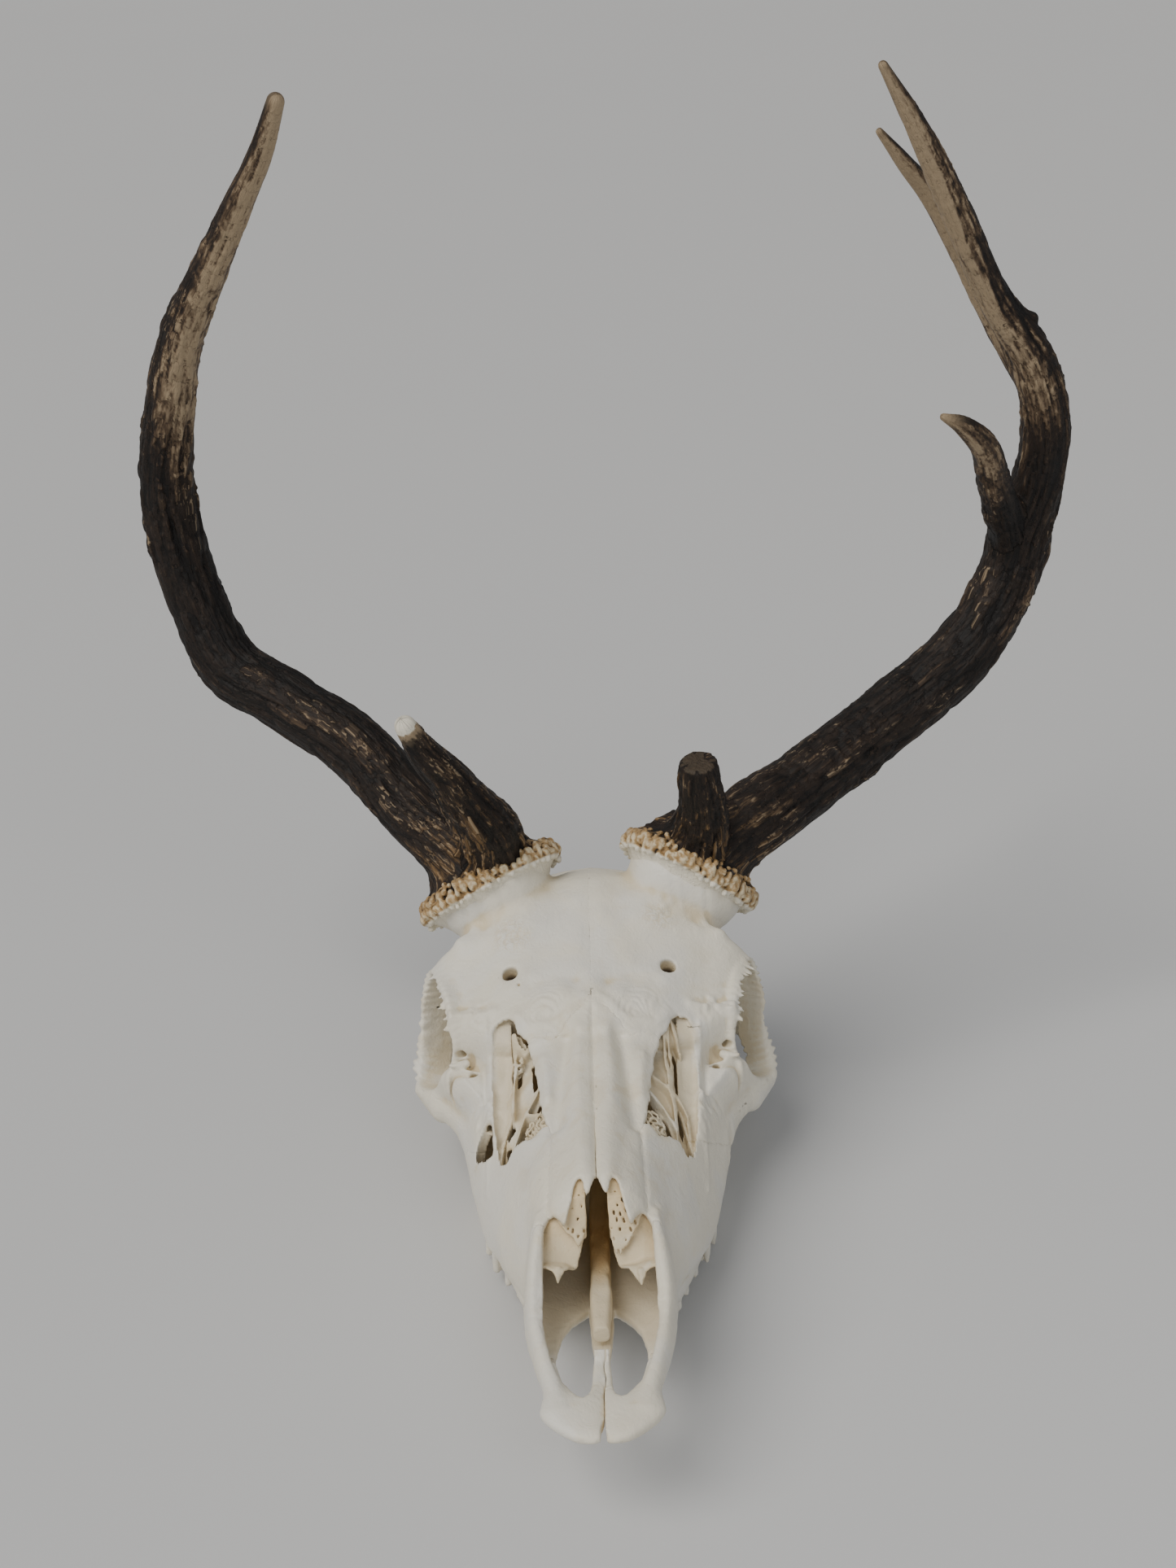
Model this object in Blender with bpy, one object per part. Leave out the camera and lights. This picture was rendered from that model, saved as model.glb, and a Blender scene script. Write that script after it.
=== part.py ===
"""Red deer stag's skull with both antlers, life size, as a museum shows it.

All tables are in millimetres in the skull's frame: X to the right of the picture, Y back from the
front end of the upper jaw, Z up from the surface that it rests on. The skull rests on its rear
cheek teeth and on the two paracondylar processes, with the nose about five degrees up. The bones
are modelled whole, from lofted masses that a voxel remesh joins, and are then parted by thin cuts
that follow the sutures.
"""
import math

import bmesh
import bpy
import numpy as np
from mathutils import Matrix, Vector

MM = 0.001
GAP = 0.3                       # between neighbouring solids
FLAT_DEPTH = 0.4                # points lower than this rest on the floor
SUTURE = 0.7                    # width of the cuts between the skull's bones
INNER_CLEARANCE = 0.8           # round the thin bones inside the nose

# Driving sizes
PALATE_FRONT_Z = 36.0           # underside of the palate at the front end
PALATE_SLOPE = -0.0875          # the palate falls five degrees towards the back
ORIGIN = (14.8, 210.6, 0.0)     # point of the skull's frame that becomes the origin

# Fineness of the model
MASS_SIDES = 28
SKULL_VOXEL = 2.4
FINE_VOXEL = 1.9                # after the hollows are cut
SKULL_TRIANGLES = 4000
ANTLER_VOXEL = 1.6
ANTLER_TRIANGLES = 950          # of one antler without its burr
BONE_SHARE = 0.58               # of its triangles that a bone keeps after the cuts
THINNING_STEP = 0.03
SKULL_SMOOTHING = 3             # passes
ANTLER_SMOOTHING = 2

# Lofts along Y: (y, half width, z of the greatest width, top z, bottom z)
FACE = [
    (50, 28.0, 45, 58, 31.6), (72, 31.0, 46, 70, 29.7), (92, 33.0, 44, 81, 28.0),
    (107, 37.0, 40, 88, 26.6), (125, 44.0, 34, 90, 25.0), (143, 50.0, 30, 91, 23.5),
    (160, 54.5, 32, 93, 22.0), (177, 58.0, 38, 95, 20.5), (192, 60.5, 44, 98, 19.2),
    (205, 61.0, 52, 101, 18.2), (218, 60.0, 58, 106, 24.0), (232, 52.0, 62, 108, 30.0),
]
FACE_SHAPE = (1.75, 2.8)
NASAL_CAVITY = [
    (56, 24.0, 46, 66, 35.0), (72, 26.0, 47, 66, 34.2), (92, 28.5, 46, 77, 33.0),
    (107, 32.0, 42, 83.5, 31.8), (125, 39.0, 37, 85.5, 30.6), (143, 45.0, 34, 86.5, 29.5),
    (160, 49.0, 36, 88.5, 28.8), (177, 51.5, 42, 90.5, 28.2), (192, 51.5, 50, 93.5, 28.0),
    (205, 45.0, 58, 96.5, 30.0), (214, 30.0, 62, 98.0, 34.0),
]
CAVITY_SHAPE = (1.8, 3.0)
FRONTAL_ROOF = [
    (206, 34, 90, 101.5, 84), (216, 52, 86, 105.5, 76), (226, 65, 86, 109.5, 76),
    (240, 69, 92, 115, 83), (254, 74, 97, 121, 89), (264, 76.5, 99, 126, 92),
    (271, 64, 102, 129, 91), (279, 58, 103, 132.5, 88), (292, 48, 104, 134, 86),
    (306, 38, 100, 129, 84),
]
ROOF_SHAPE = (1.9, 3.0)
BRAINCASE = [
    (206, 22, 78, 98, 52), (222, 24, 78, 104, 48), (238, 25, 76, 110, 42), (254, 29, 74, 116, 34),
    (270, 38, 72, 123, 28), (288, 45, 70, 129, 24), (306, 47.5, 68, 128, 22),
    (322, 47, 64, 119, 22), (338, 45, 60, 108, 22), (349, 41, 56, 98, 24), (356, 33, 54, 88, 30),
]
BRAINCASE_SHAPE = (2.1, 2.4)

# Tubes for the right side: each stop is (x, y, z, half width, half height)
PREMAXILLA_BAR = [
    (17.0, 16, 46.5, 5.0, 4.2), (18.8, 27, 46.5, 4.2, 5.2), (23.4, 46, 46.5, 4.4, 7.5),
    (27.3, 66, 48.6, 4.2, 9.6), (27.2, 84, 56.5, 4.2, 9.0), (25.0, 102, 67.0, 4.0, 7.0),
    (26.5, 113, 66.0, 3.0, 4.0),
]
# Front plate of the premaxilla: (y, inner x, outer x, top z, bottom z)
PREMAXILLA_PLATE = [
    (0.2, 1.4, 7.0, 47.6, 45.4), (1.6, 0.6, 11.0, 48.6, 44.4), (4.2, -1, 15.2, 49.6, 43.4),
    (8.2, -1, 19.6, 50.2, 42.8), (12, -1, 23.0, 50.6, 42.6), (15.6, -1, 24.9, 50.8, 42.4),
    (20, -1, 24.5, 50.8, 42.2), (27, -1, 22.6, 50.4, 41.0),
]
PALATINE_PROCESS = [
    (4.8, 20, 44.8, 4.2, 3.8), (3.0, 34, 44.0, 2.6, 3.4), (2.6, 48, 43.6, 2.2, 3.2),
    (2.6, 61.4, 43.2, 2.2, 3.0),
]
ALVEOLAR_RIDGE = [
    (27, 104, 27, 5, 4.5), (30, 118, 24, 7.5, 6.5), (36, 145, 21, 9.5, 8),
    (40, 175, 19, 11, 9), (42, 205, 17.5, 11, 9), (42, 226, 19, 8.5, 8),
]
CHEEK = [
    (48, 176, 37, 8, 9), (54, 196, 42, 8, 10), (62, 214, 47, 7, 9), (74, 228, 49, 6, 7),
    (82.5, 238, 49, 4, 5),
]
ORBIT_FLOOR = [(50, 204, 61, 8, 14), (60, 214, 63, 8, 14), (68, 223, 60, 6, 10), (74, 234, 52, 6, 5)]
ZYGOMATIC_ARCH = [
    (74, 226, 46, 4.5, 6.0), (80.5, 240, 46, 3.8, 6.0), (81, 260, 44, 3.6, 5.5),
    (78, 280, 43, 3.6, 5.5), (71, 297, 44, 4.5, 6.0), (58, 308, 46, 8.0, 7.0),
    (44, 312, 48, 8.0, 9.0),
]
SQUAMOSAL_SHELF = [(40, 300, 44, 12, 6), (60, 303, 43, 11, 5), (71, 300, 43, 6, 4.5)]
PARACONDYLAR = [
    (38, 336, 44, 8, 8), (38.5, 339, 30, 5.5, 7.5), (37.5, 340, 16, 4.2, 6.0),
    (36.0, 340, 6, 3.6, 4.6), (35.5, 340, -3.0, 3.2, 4.2),
]
PTERYGOID = [
    (24, 222, 20, 6.0, 8), (18, 236, 22, 2.6, 13), (16, 252, 24, 2.4, 14), (17, 266, 28, 4, 12),
]
PEDICLE = [
    (35, 283, 104, 27, 22), (40, 289, 112, 25, 21), (48, 300, 125, 29, 23),
]
PEDICLE_ACROSS = (0.84, 0, -0.54)

# Orbit: a ring that faces out, forward and a little up. Stops of its outer edge: (x, y, z, depth)
ORBIT_AXIS = (0.852, -0.474, 0.22)
ORBIT_EDGE = [
    (67.5, 220, 76, 11), (67, 225, 91, 9), (70, 243, 101, 9), (77, 262, 101, 13),
    (83, 262, 84, 16), (84.5, 255, 64, 17), (86, 239, 51.0, 13), (76, 226, 56, 10),
]
ORBIT_RIM = 2.6                 # half thickness of the rim
# Rings of the socket's hollow: (distance out along the axis, share of the rim's size, shift back)
ORBIT_HOLLOW = [(14, 1.05, 0), (0, 1.0, 0), (-18, 0.92, 3), (-34, 0.72, 9), (-46, 0.3, 12)]

# Ellipsoids for the right side: (centre, half sizes)
CONDYLE = ((17, 353.5, 33), (11, 12.5, 14))
BULLA = ((25, 313, 20), (10, 15, 12))
FORAMEN_MAGNUM = ((0, 366, 46), (12.5, 24, 12))
BASIOCCIPITAL = [(0, 262, 30, 11, 9), (0, 290, 25, 11, 8), (0, 322, 23, 14, 8), (0, 352, 27, 18, 9)]

# Outlines of the openings for the right side, as (x, y) seen from above
FISSURE = [(5.6, 23), (8.0, 21.5), (12.0, 25), (16.5, 38), (18.6, 54), (17.5, 68), (13, 82), (5.4, 93)]
VACUITY = [(26.5, 162), (35, 156), (40, 166), (43, 184), (45.5, 206), (43, 219), (36, 218), (31, 202),
           (27.5, 180)]

# Nasal opening: its edge from the front, outwards and back to the notched end of the nasal bone
APERTURE = [(15, 26), (21, 40), (24.5, 60), (23, 84), (20.8, 101), (14.5, 94.5), (8.5, 105), (6.0, 107),
            (3.7, 103)]
NASAL_TIP = (0, 109)
APERTURE_REACH = (50, 130)
FISSURE_REACH = (20, 60)        # lowest and highest level of the cutter
VACUITY_REACH = (66, 130)

# Cheek teeth of one side: (y, length, half width, x, drop from the palate to the cusps)
CHEEK_TEETH = [
    (118, 12, 5.2, 28.3, 12.5), (131, 13, 6.0, 31.2, 13.0), (144.5, 13, 7.0, 35.2, 14.0),
    (160, 17, 8.4, 39.8, 16.5), (179.5, 20, 9.4, 42.8, 19.2), (201.5, 22, 9.8, 43.5, 20.2),
]
CUSP_DEPTH = 3.0
ROOT_DEPTH = 4.0                # of a tooth above the palate
CROWN_WAIST = 8.0               # widest level of a tooth, under its root
TOOTH_STATIONS = 9
TOOTH_SPAN = 0.96               # share of a tooth's length from its first station to its last
LOBE_WAIST = 0.86               # share of its width between the two lobes
CREST_WIDTH = 0.8               # share of its width at the root and at the chewing face

# Antlers. Beams and tines are stops of (x, y, z, radius). A burr has a centre, the antler's
# direction there, the direction of its long half size, and both half sizes.
LEFT_BURR = ((-47.5, 300, 123.5), (-0.43, 0.53, 0.73), (-0.86, 0.0, -0.51), (38.5, 31.0))
RIGHT_BURR = ((48.0, 300, 127), (0.482, 0.53, 0.70), (0.825, 0.0, -0.567), (36.5, 30.0))
# Rings of a burr and the stem on it: (height, share of the burr's half sizes, depth of the pearls)
BURR_RINGS = [(0.0, 0.80, 0.0), (1.6, 0.95, 0.8), (5.0, 1.0, 1.0), (9.0, 0.96, 1.0), (12.0, 0.78, 0.0),
              (18.0, 0.71, 0.0), (24.0, 0.55, 0.0)]
BURR_PEARLS = 15
PEARL_DEPTH = 1.4
FORK_CUT_REACH = 1.5            # radius of the disc that parts a fork, in radii of the beam
FORK_CUT_SIDES = 24
LEFT_LOWER_BEAM = [
    (-58, 307, 138, 19.0), (-84, 325, 155, 16.5), (-114, 350, 180, 15.8), (-147, 372, 196, 15.6),
    (-180, 391, 212, 15.6), (-197, 403, 250, 14.8),
]
LEFT_UPPER_BEAM = [
    (-197, 403, 250, 14.8), (-203, 405, 286, 14.0), (-201, 402, 319, 13.0), (-185, 388, 377, 10.4),
    (-156, 366, 430, 7.6), (-131, 346, 472, 5.2), (-120, 336, 495, 3.6),
]
LEFT_BROW_TINE = [
    (-46, 299, 142, 16), (-47, 287, 163, 13.5), (-61, 272, 196, 9.5), (-72, 262, 217, 7.2),
    (-79, 256, 234, 5.0),
]
RIGHT_LOWER_BEAM = [
    (60, 307, 138, 19.0), (82, 320, 147, 18.5), (106, 338, 154, 17.6), (151, 368, 174, 17.0),
    (194, 391, 200, 16.8), (217, 402, 232, 15.8),
]
RIGHT_UPPER_BEAM = [
    (217, 402, 232, 15.8), (226, 405, 262, 14.6), (233, 404, 290, 12.4), (234, 398, 320, 11.6),
    (223, 390, 356, 10.0),
]
RIGHT_FRONT_TINE = [
    (223, 390, 356, 10.0), (201, 378, 390, 7.6), (178, 360, 436, 6.6), (160, 347, 470, 5.0),
    (142, 336, 500, 2.2),
]
RIGHT_BROW_TINE = [(52, 299, 144, 15), (56, 290, 164, 12.5), (55, 282, 184, 10.0), (54, 278, 199, 8.6)]
RIGHT_TREZ_TINE = [
    (220, 402, 256, 9), (214, 391, 276, 9.2), (205, 374, 300, 7.8), (197, 358, 321, 6.4),
    (185, 347, 335, 4.6), (174, 341, 342, 1.8),
]
RIGHT_REAR_TINE = [
    (226, 392, 344, 7), (213, 399, 362, 7), (197, 403, 392, 6.0), (176, 399, 429, 4.9),
    (162, 394, 447, 3.9), (148, 388, 464, 1.8),
]

# Regions that part the skull into bones, in the order of the cuts. Each has its inner and outer
# reach from the middle and its outline as (y, z) seen from the side; the nasals' is (x, y) from above.
# An inner reach of 0 stands for a pair that meets along the middle.
NASAL_REACH = (66, 130)         # lowest and highest level of the nasals' region
NASAL_OUTLINE = [(20.4, 70), (20.4, 143), (25.4, 177), (28.4, 200), (20, 206), (12, 212), (0, 216),
                 (-12, 212), (-20, 206), (-28.4, 200), (-25.4, 177), (-20.4, 143), (-20.4, 70)]
SIDE_REGIONS = {
    "premaxilla": (0, 60, [(-20, 0), (49, 0), (54, 34), (75, 46), (92, 62), (106, 80), (106, 100),
                           (-20, 100)]),
    "maxilla": (0, 90, [(20, -20), (229, -20), (229, 26), (206, 34), (196, 42), (182, 52),
                        (170, 62), (157, 77), (148, 120), (20, 120)]),
    "lacrimal": (24, 90, [(140, 120), (157, 60), (182, 40), (196, 50), (238, 55), (232, 72),
                          (225, 88), (216, 95), (206, 120)]),
    "zygomatic": (48, 110, [(150, 20), (288, 20), (284, 66), (275, 80), (243, 80), (238, 55),
                            (196, 50), (170, 60)]),
    "frontal": (0, 110, [(180, 160), (196, 78), (240, 62), (272, 78), (300, 80), (303, 96),
                         (320, 115), (345, 160)]),
    "temporal": (16, 110, [(270, -20), (326, -20), (326, 44), (343, 60), (343, 74), (284, 74),
                           (276, 60)]),
}
MIDLINE_REGIONS = {
    "occipital": [(324, -20), (324, 50), (340, 60), (345, 130), (420, 130), (420, -20)],
    "parietal": [(274, 72), (350, 73), (350, 150), (274, 150)],
}
FAR = 450.0                     # past every part of the skull

# Bones inside the nose
VOMER = [
    (62.0, 4.4, 42, 45.6, 39.0), (80, 4.6, 42, 47.0, 36.0), (100, 4.4, 42, 48.5, 30.0),
    (140, 4.4, 42, 50.0, 26.0), (200, 4.4, 46, 54.0, 26.0),
]
CONCHA_LINE = [(33, 66), (24, 73), (14, 73), (9, 65), (10, 56), (16, 50), (23, 53)]
CONCHA_REACH = (97, 150)
CONCHA_HALF_THICKNESS = 1.2
ETHMOID_LINE = [(35, 83), (33, 74), (34, 64), (39, 56)]
ETHMOID_REACH = (168, 206)
ETHMOID_HALF_THICKNESS = 1.0

# Colours and roughness
BONE = (0.86, 0.84, 0.78, 1.0)
INNER_BONE = (0.72, 0.58, 0.38, 1.0)
ANTLER = (0.09, 0.06, 0.04, 1.0)
BONE_ROUGHNESS = 0.55
ANTLER_ROUGHNESS = 0.6
SMOOTH_SHADING_LIMIT = math.radians(40)


# ---------------------------------------------------------------- points and meshes

def smooth_path(stops, steps):
    """Catmull-Rom curve through the stops, with the same number of steps between each two."""
    stops = np.array(stops, float)
    padded = np.vstack([2 * stops[0] - stops[1], stops, 2 * stops[-1] - stops[-2]])
    points = []
    for a, b, c, d in zip(padded, padded[1:], padded[2:], padded[3:]):
        for t in np.arange(steps) / steps:
            points.append(0.5 * (2 * b + (c - a) * t + (2 * a - 5 * b + 4 * c - d) * t ** 2
                                 + (3 * b - a - 3 * c + d) * t ** 3))
    points.append(stops[-1])
    return np.array(points)


def unit(vector):
    vector = np.array(vector, float)
    return vector / np.linalg.norm(vector)


def superellipse(sides, top_power, bottom_power):
    """Unit outline (across, up) whose upper and lower halves have their own squareness."""
    outline = []
    for angle in 2 * np.pi * np.arange(sides) / sides:
        c, s = math.cos(angle), math.sin(angle)
        power = top_power if s >= 0 else bottom_power
        outline.append((math.copysign(abs(c) ** (2 / power), c), math.copysign(abs(s) ** (2 / power), s)))
    return np.array(outline)


def new_object(name, bm):
    bmesh.ops.recalc_face_normals(bm, faces=bm.faces)
    mesh = bpy.data.meshes.new(name)
    bm.to_mesh(mesh)
    bm.free()
    obj = bpy.data.objects.new(name, mesh)
    bpy.context.scene.collection.objects.link(obj)
    return obj


def loft(name, rings, side=1):
    """Closed body through rings of equal length; side -1 mirrors it to the left."""
    bm = bmesh.new()
    loops = []
    for ring in rings:
        loops.append([bm.verts.new(((side * x) * MM, y * MM, z * MM)) for x, y, z in ring])
    for lower, upper in zip(loops, loops[1:]):
        for i in range(len(lower)):
            j = (i + 1) % len(lower)
            bm.faces.new((lower[i], lower[j], upper[j], upper[i]))
    bm.faces.new(loops[0])
    bm.faces.new(loops[-1])
    return new_object(name, bm)


def loft_along_y(name, sections, shape, side=1, steps=2, sides=MASS_SIDES):
    """Loft with upright superelliptic sections, from a table of widths and heights."""
    outline = superellipse(sides, *shape)
    rings = []
    for y, width, z_wide, z_top, z_bottom in smooth_path(sections, steps):
        height = np.where(outline[:, 1] >= 0, z_top - z_wide, z_wide - z_bottom)
        rings.append([(width * u, y, z_wide + h * v) for (u, v), h in zip(outline, height)])
    return loft(name, rings, side)


def frames_along(points, across):
    """Unit vectors across and up at each point, carried along without twisting."""
    tangents = np.gradient(points, axis=0)
    frames = []
    across = np.array(across, float)
    for tangent in tangents:
        tangent = unit(tangent)
        across = unit(across - tangent * across.dot(tangent))
        frames.append((across, np.cross(tangent, across)))
    return frames


def tube(name, stops, side=1, across=(1, 0, 0), steps=3, sides=14, power=2.2):
    """Bar along a curve; each stop holds its place and one or two half sizes."""
    path = smooth_path(stops, steps)
    points, sizes = path[:, :3], path[:, 3:]
    outline = superellipse(sides, power, power)
    rings = []
    for point, (a, b), size in zip(points, frames_along(points, across), sizes):
        rings.append([point + a * u * size[0] + b * v * size[-1] for u, v in outline])
    return loft(name, rings, side)


def plate_loft(name, sections, side=1, steps=2, sides=16):
    """Loft along Y of flat rounded sections: (y, inner x, outer x, top z, bottom z)."""
    outline = superellipse(sides, 3.0, 3.0)
    rings = []
    for y, inner, outer, top, bottom in smooth_path(sections, steps):
        rings.append([((inner + outer) / 2 + (outer - inner) / 2 * u, y,
                       (top + bottom) / 2 + (top - bottom) / 2 * v) for u, v in outline])
    return loft(name, rings, side)


def sheet_loft(name, line, reach, half_thickness, side=1, steps=2, stations=4):
    """Curled plate: a line in X and Z, thickened, and drawn out along Y."""
    points = smooth_path([(x, z, 0) for x, z in line], steps)[:, :2]
    tangents = np.gradient(points, axis=0)
    normals = np.array([unit((-t[1], t[0])) for t in tangents])
    outline = list(points + normals * half_thickness) + list((points - normals * half_thickness)[::-1])
    rings = [[(x, y, z) for x, z in outline] for y in np.linspace(*reach, stations)]
    return loft(name, rings, side)


def ellipsoid(name, centre, half, side=1, subdivisions=3):
    bm = bmesh.new()
    bmesh.ops.create_icosphere(bm, subdivisions=subdivisions, radius=1.0)
    for vert in bm.verts:
        place = [c + h * v for c, h, v in zip(centre, half, vert.co)]
        vert.co = (side * place[0] * MM, place[1] * MM, place[2] * MM)
    return new_object(name, bm)


def offset_outline(outline, distance):
    """Move every side of a closed outline outwards by the same distance."""
    points = [np.array(p, float) for p in outline]
    area = sum(a[0] * b[1] - b[0] * a[1] for a, b in zip(points, points[1:] + points[:1]))
    turn = 1 if area > 0 else -1
    moved = []
    for before, point, after in zip(points[-1:] + points[:-1], points, points[1:] + points[:1]):
        first, second = unit(point - before), unit(after - point)
        normal_a = turn * np.array((first[1], -first[0]))
        normal_b = turn * np.array((second[1], -second[0]))
        bisector = normal_a + normal_b
        moved.append(point + bisector * distance * 2 / bisector.dot(bisector))
    return moved


def prism(name, outline, low, high, axis, side=1, grow=0.0):
    """Outline (x, y) extruded along axis 'z', or (y, z) along 'x'."""
    def place(point, level):
        return (*point, level) if axis == "z" else (level, *point)
    wide = offset_outline(outline, grow) if grow else outline
    rings = [[place(p, level) for p in wide] for level in (low - grow, high + grow)]
    return loft(name, rings, side)


# ---------------------------------------------------------------- modifiers

def bake(obj):
    """Replace an object's mesh by what its modifiers make of it."""
    depsgraph = bpy.context.evaluated_depsgraph_get()
    mesh = bpy.data.meshes.new_from_object(obj.evaluated_get(depsgraph))
    obj.modifiers.clear()
    obj.data = mesh
    return obj


def drop(*objects):
    for obj in objects:
        bpy.data.objects.remove(obj, do_unlink=True)


def join(name, objects):
    bm = bmesh.new()
    for obj in objects:
        bm.from_mesh(obj.data)
    drop(*objects)
    mesh = bpy.data.meshes.new(name)
    bm.to_mesh(mesh)
    bm.free()
    joined = bpy.data.objects.new(name, mesh)
    bpy.context.scene.collection.objects.link(joined)
    return joined


def remesh(obj, voxel):
    modifier = obj.modifiers.new("remesh", "REMESH")
    modifier.mode = "VOXEL"
    modifier.voxel_size = voxel * MM
    return bake(obj)


def smooth(obj, passes, factor=0.5):
    modifier = obj.modifiers.new("smooth", "SMOOTH")
    modifier.iterations = passes
    modifier.factor = factor
    return bake(obj)


def decimate(obj, share):
    modifier = obj.modifiers.new("decimate", "DECIMATE")
    modifier.ratio = share
    return bake(obj)


def is_closed(obj):
    bm = bmesh.new()
    bm.from_mesh(obj.data)
    closed = all(len(edge.link_faces) == 2 for edge in bm.edges)
    bm.free()
    return closed


def thin_out(obj, share):
    """Decimate a closed body, and keep more of it where fewer triangles would open an edge."""
    full = obj.data
    decimate(obj, share)
    while share < 1.0 and not is_closed(obj):
        share += THINNING_STEP
        obj.data = full.copy()
        decimate(obj, min(share, 1.0))
    return obj


def boolean(obj, other, operation):
    modifier = obj.modifiers.new("boolean", "BOOLEAN")
    modifier.operation = operation
    modifier.solver = "EXACT"
    modifier.object = other
    return bake(obj)


def copy_of(obj, name):
    twin = bpy.data.objects.new(name, obj.data.copy())
    bpy.context.scene.collection.objects.link(twin)
    return twin


def grown_copy(obj, distance):
    """Copy whose surface lies further out; cutting with it leaves a gap."""
    twin = copy_of(obj, "grown")
    modifier = twin.modifiers.new("displace", "DISPLACE")
    modifier.mid_level = 0.0
    modifier.strength = distance * MM
    return bake(twin)


def islands(bm):
    """Sets of connected vertices, largest first."""
    remaining = set(bm.verts)
    found = []
    while remaining:
        stack = [remaining.pop()]
        island = set(stack)
        while stack:
            vert = stack.pop()
            for edge in vert.link_edges:
                other = edge.other_vert(vert)
                if other in remaining:
                    remaining.discard(other)
                    island.add(other)
                    stack.append(other)
        found.append(island)
    return sorted(found, key=len, reverse=True)


def keep_largest(obj):
    """Drop the crumbs that a cut leaves, so that one closed body stays."""
    bm = bmesh.new()
    bm.from_mesh(obj.data)
    for island in islands(bm)[1:]:
        bmesh.ops.delete(bm, geom=list(island), context="VERTS")
    bm.to_mesh(obj.data)
    bm.free()
    return obj


# ---------------------------------------------------------------- skull masses

def palate_z(y):
    return PALATE_FRONT_Z + PALATE_SLOPE * y


def orbit_edge():
    """Stops along the closed outer edge of the orbit, its axis, and the way out from its middle."""
    axis = unit(ORBIT_AXIS)
    closed = ORBIT_EDGE[-1:] + ORBIT_EDGE + ORBIT_EDGE[:2]
    stops = smooth_path(closed, 3)[3:-6]
    centre = stops[:, :3].mean(axis=0)
    radials = []
    for edge in stops[:, :3]:
        radial = edge - centre
        radials.append(unit(radial - axis * radial.dot(axis)))
    return stops, axis, np.array(radials)


def orbit_ring(side):
    """Rim of the orbit: a deep flat strap at the back, a thicker edge in front."""
    stops, axis, radials = orbit_edge()
    outline = superellipse(10, 2.6, 2.6)
    bm = bmesh.new()
    loops = []
    for (x, y, z, depth), radial in zip(stops, radials):
        middle = np.array((x, y, z)) - axis * depth / 2
        ring = [middle + radial * ORBIT_RIM * u + axis * depth / 2 * v for u, v in outline]
        loops.append([bm.verts.new((side * p[0] * MM, p[1] * MM, p[2] * MM)) for p in ring])
    for lower, upper in zip(loops, loops[1:] + loops[:1]):
        for i in range(len(lower)):
            j = (i + 1) % len(lower)
            bm.faces.new((lower[i], lower[j], upper[j], upper[i]))
    return new_object("orbit_ring", bm)


def orbit_cutter(side):
    """Hollows the eye socket inwards and backwards from its rim."""
    stops, axis, radials = orbit_edge()
    edge = stops[:, :3] - radials * ORBIT_RIM
    centre = edge.mean(axis=0)
    rings = []
    for depth, share, drift in ORBIT_HOLLOW:
        rings.append(centre + (edge - centre) * share + axis * depth + np.array((0, drift, 0)))
    return loft("orbit_cutter", rings, side)


def cheek_tooth(y, length, half_width, x, drop, side):
    """One tooth with two cusps on the cheek side, set in the alveolar ridge."""
    top = palate_z(y) + ROOT_DEPTH
    waist = top - CROWN_WAIST
    rings = []
    for share in np.linspace(-TOOTH_SPAN / 2, TOOTH_SPAN / 2, TOOTH_STATIONS):
        station = y + share * length
        wave = abs(math.sin(2 * math.pi * share))      # 1 at the two cusps, 0 between them
        low = palate_z(station) - drop + CUSP_DEPTH * (1 - wave)
        wide = half_width * (LOBE_WAIST + (1 - LOBE_WAIST) * wave)
        tongue_side, cheek_side = x - CREST_WIDTH * wide, x + CREST_WIDTH * wide
        rings.append([(tongue_side, station, top), (x - wide, station, waist),
                      (tongue_side, station, low + CUSP_DEPTH / 2), (x, station, low + CUSP_DEPTH * 2 / 3),
                      (cheek_side, station, low), (x + wide, station, waist), (cheek_side, station, top)])
    return loft("tooth", rings, side)


def paired_masses(side):
    masses = [
        tube("premaxilla_bar", PREMAXILLA_BAR, side),
        plate_loft("premaxilla_plate", PREMAXILLA_PLATE, side),
        tube("palatine_process", PALATINE_PROCESS, side, power=2.8),
        tube("alveolar_ridge", ALVEOLAR_RIDGE, side),
        tube("cheek", CHEEK, side),
        tube("orbit_floor", ORBIT_FLOOR, side),
        tube("zygomatic_arch", ZYGOMATIC_ARCH, side),
        tube("squamosal_shelf", SQUAMOSAL_SHELF, side, across=(0, 1, 0)),
        tube("paracondylar", PARACONDYLAR, side),
        tube("pterygoid", PTERYGOID, side),
        tube("pedicle", PEDICLE, side, across=PEDICLE_ACROSS, sides=20),
        ellipsoid("condyle", *CONDYLE, side=side),
        ellipsoid("bulla", *BULLA, side=side),
        orbit_ring(side),
    ]
    masses += [cheek_tooth(*tooth, side) for tooth in CHEEK_TEETH]
    return masses


def aperture_cutter():
    """Opens the roof of the nose in front of the nasal bones, with their notched front edge."""
    mirrored = [(-x, y) for x, y in reversed(APERTURE)]
    return prism("aperture_cutter", APERTURE + [NASAL_TIP] + mirrored, *APERTURE_REACH, "z")


def skull_cutters():
    cutters = [
        loft_along_y("nasal_cavity", NASAL_CAVITY, CAVITY_SHAPE),
        aperture_cutter(),
        ellipsoid("foramen_magnum", *FORAMEN_MAGNUM),
    ]
    for side in (-1, 1):
        cutters.append(orbit_cutter(side))
        cutters.append(prism("fissure", FISSURE, *FISSURE_REACH, "z", side))
        cutters.append(prism("vacuity", VACUITY, *VACUITY_REACH, "z", side))
    return cutters


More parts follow.
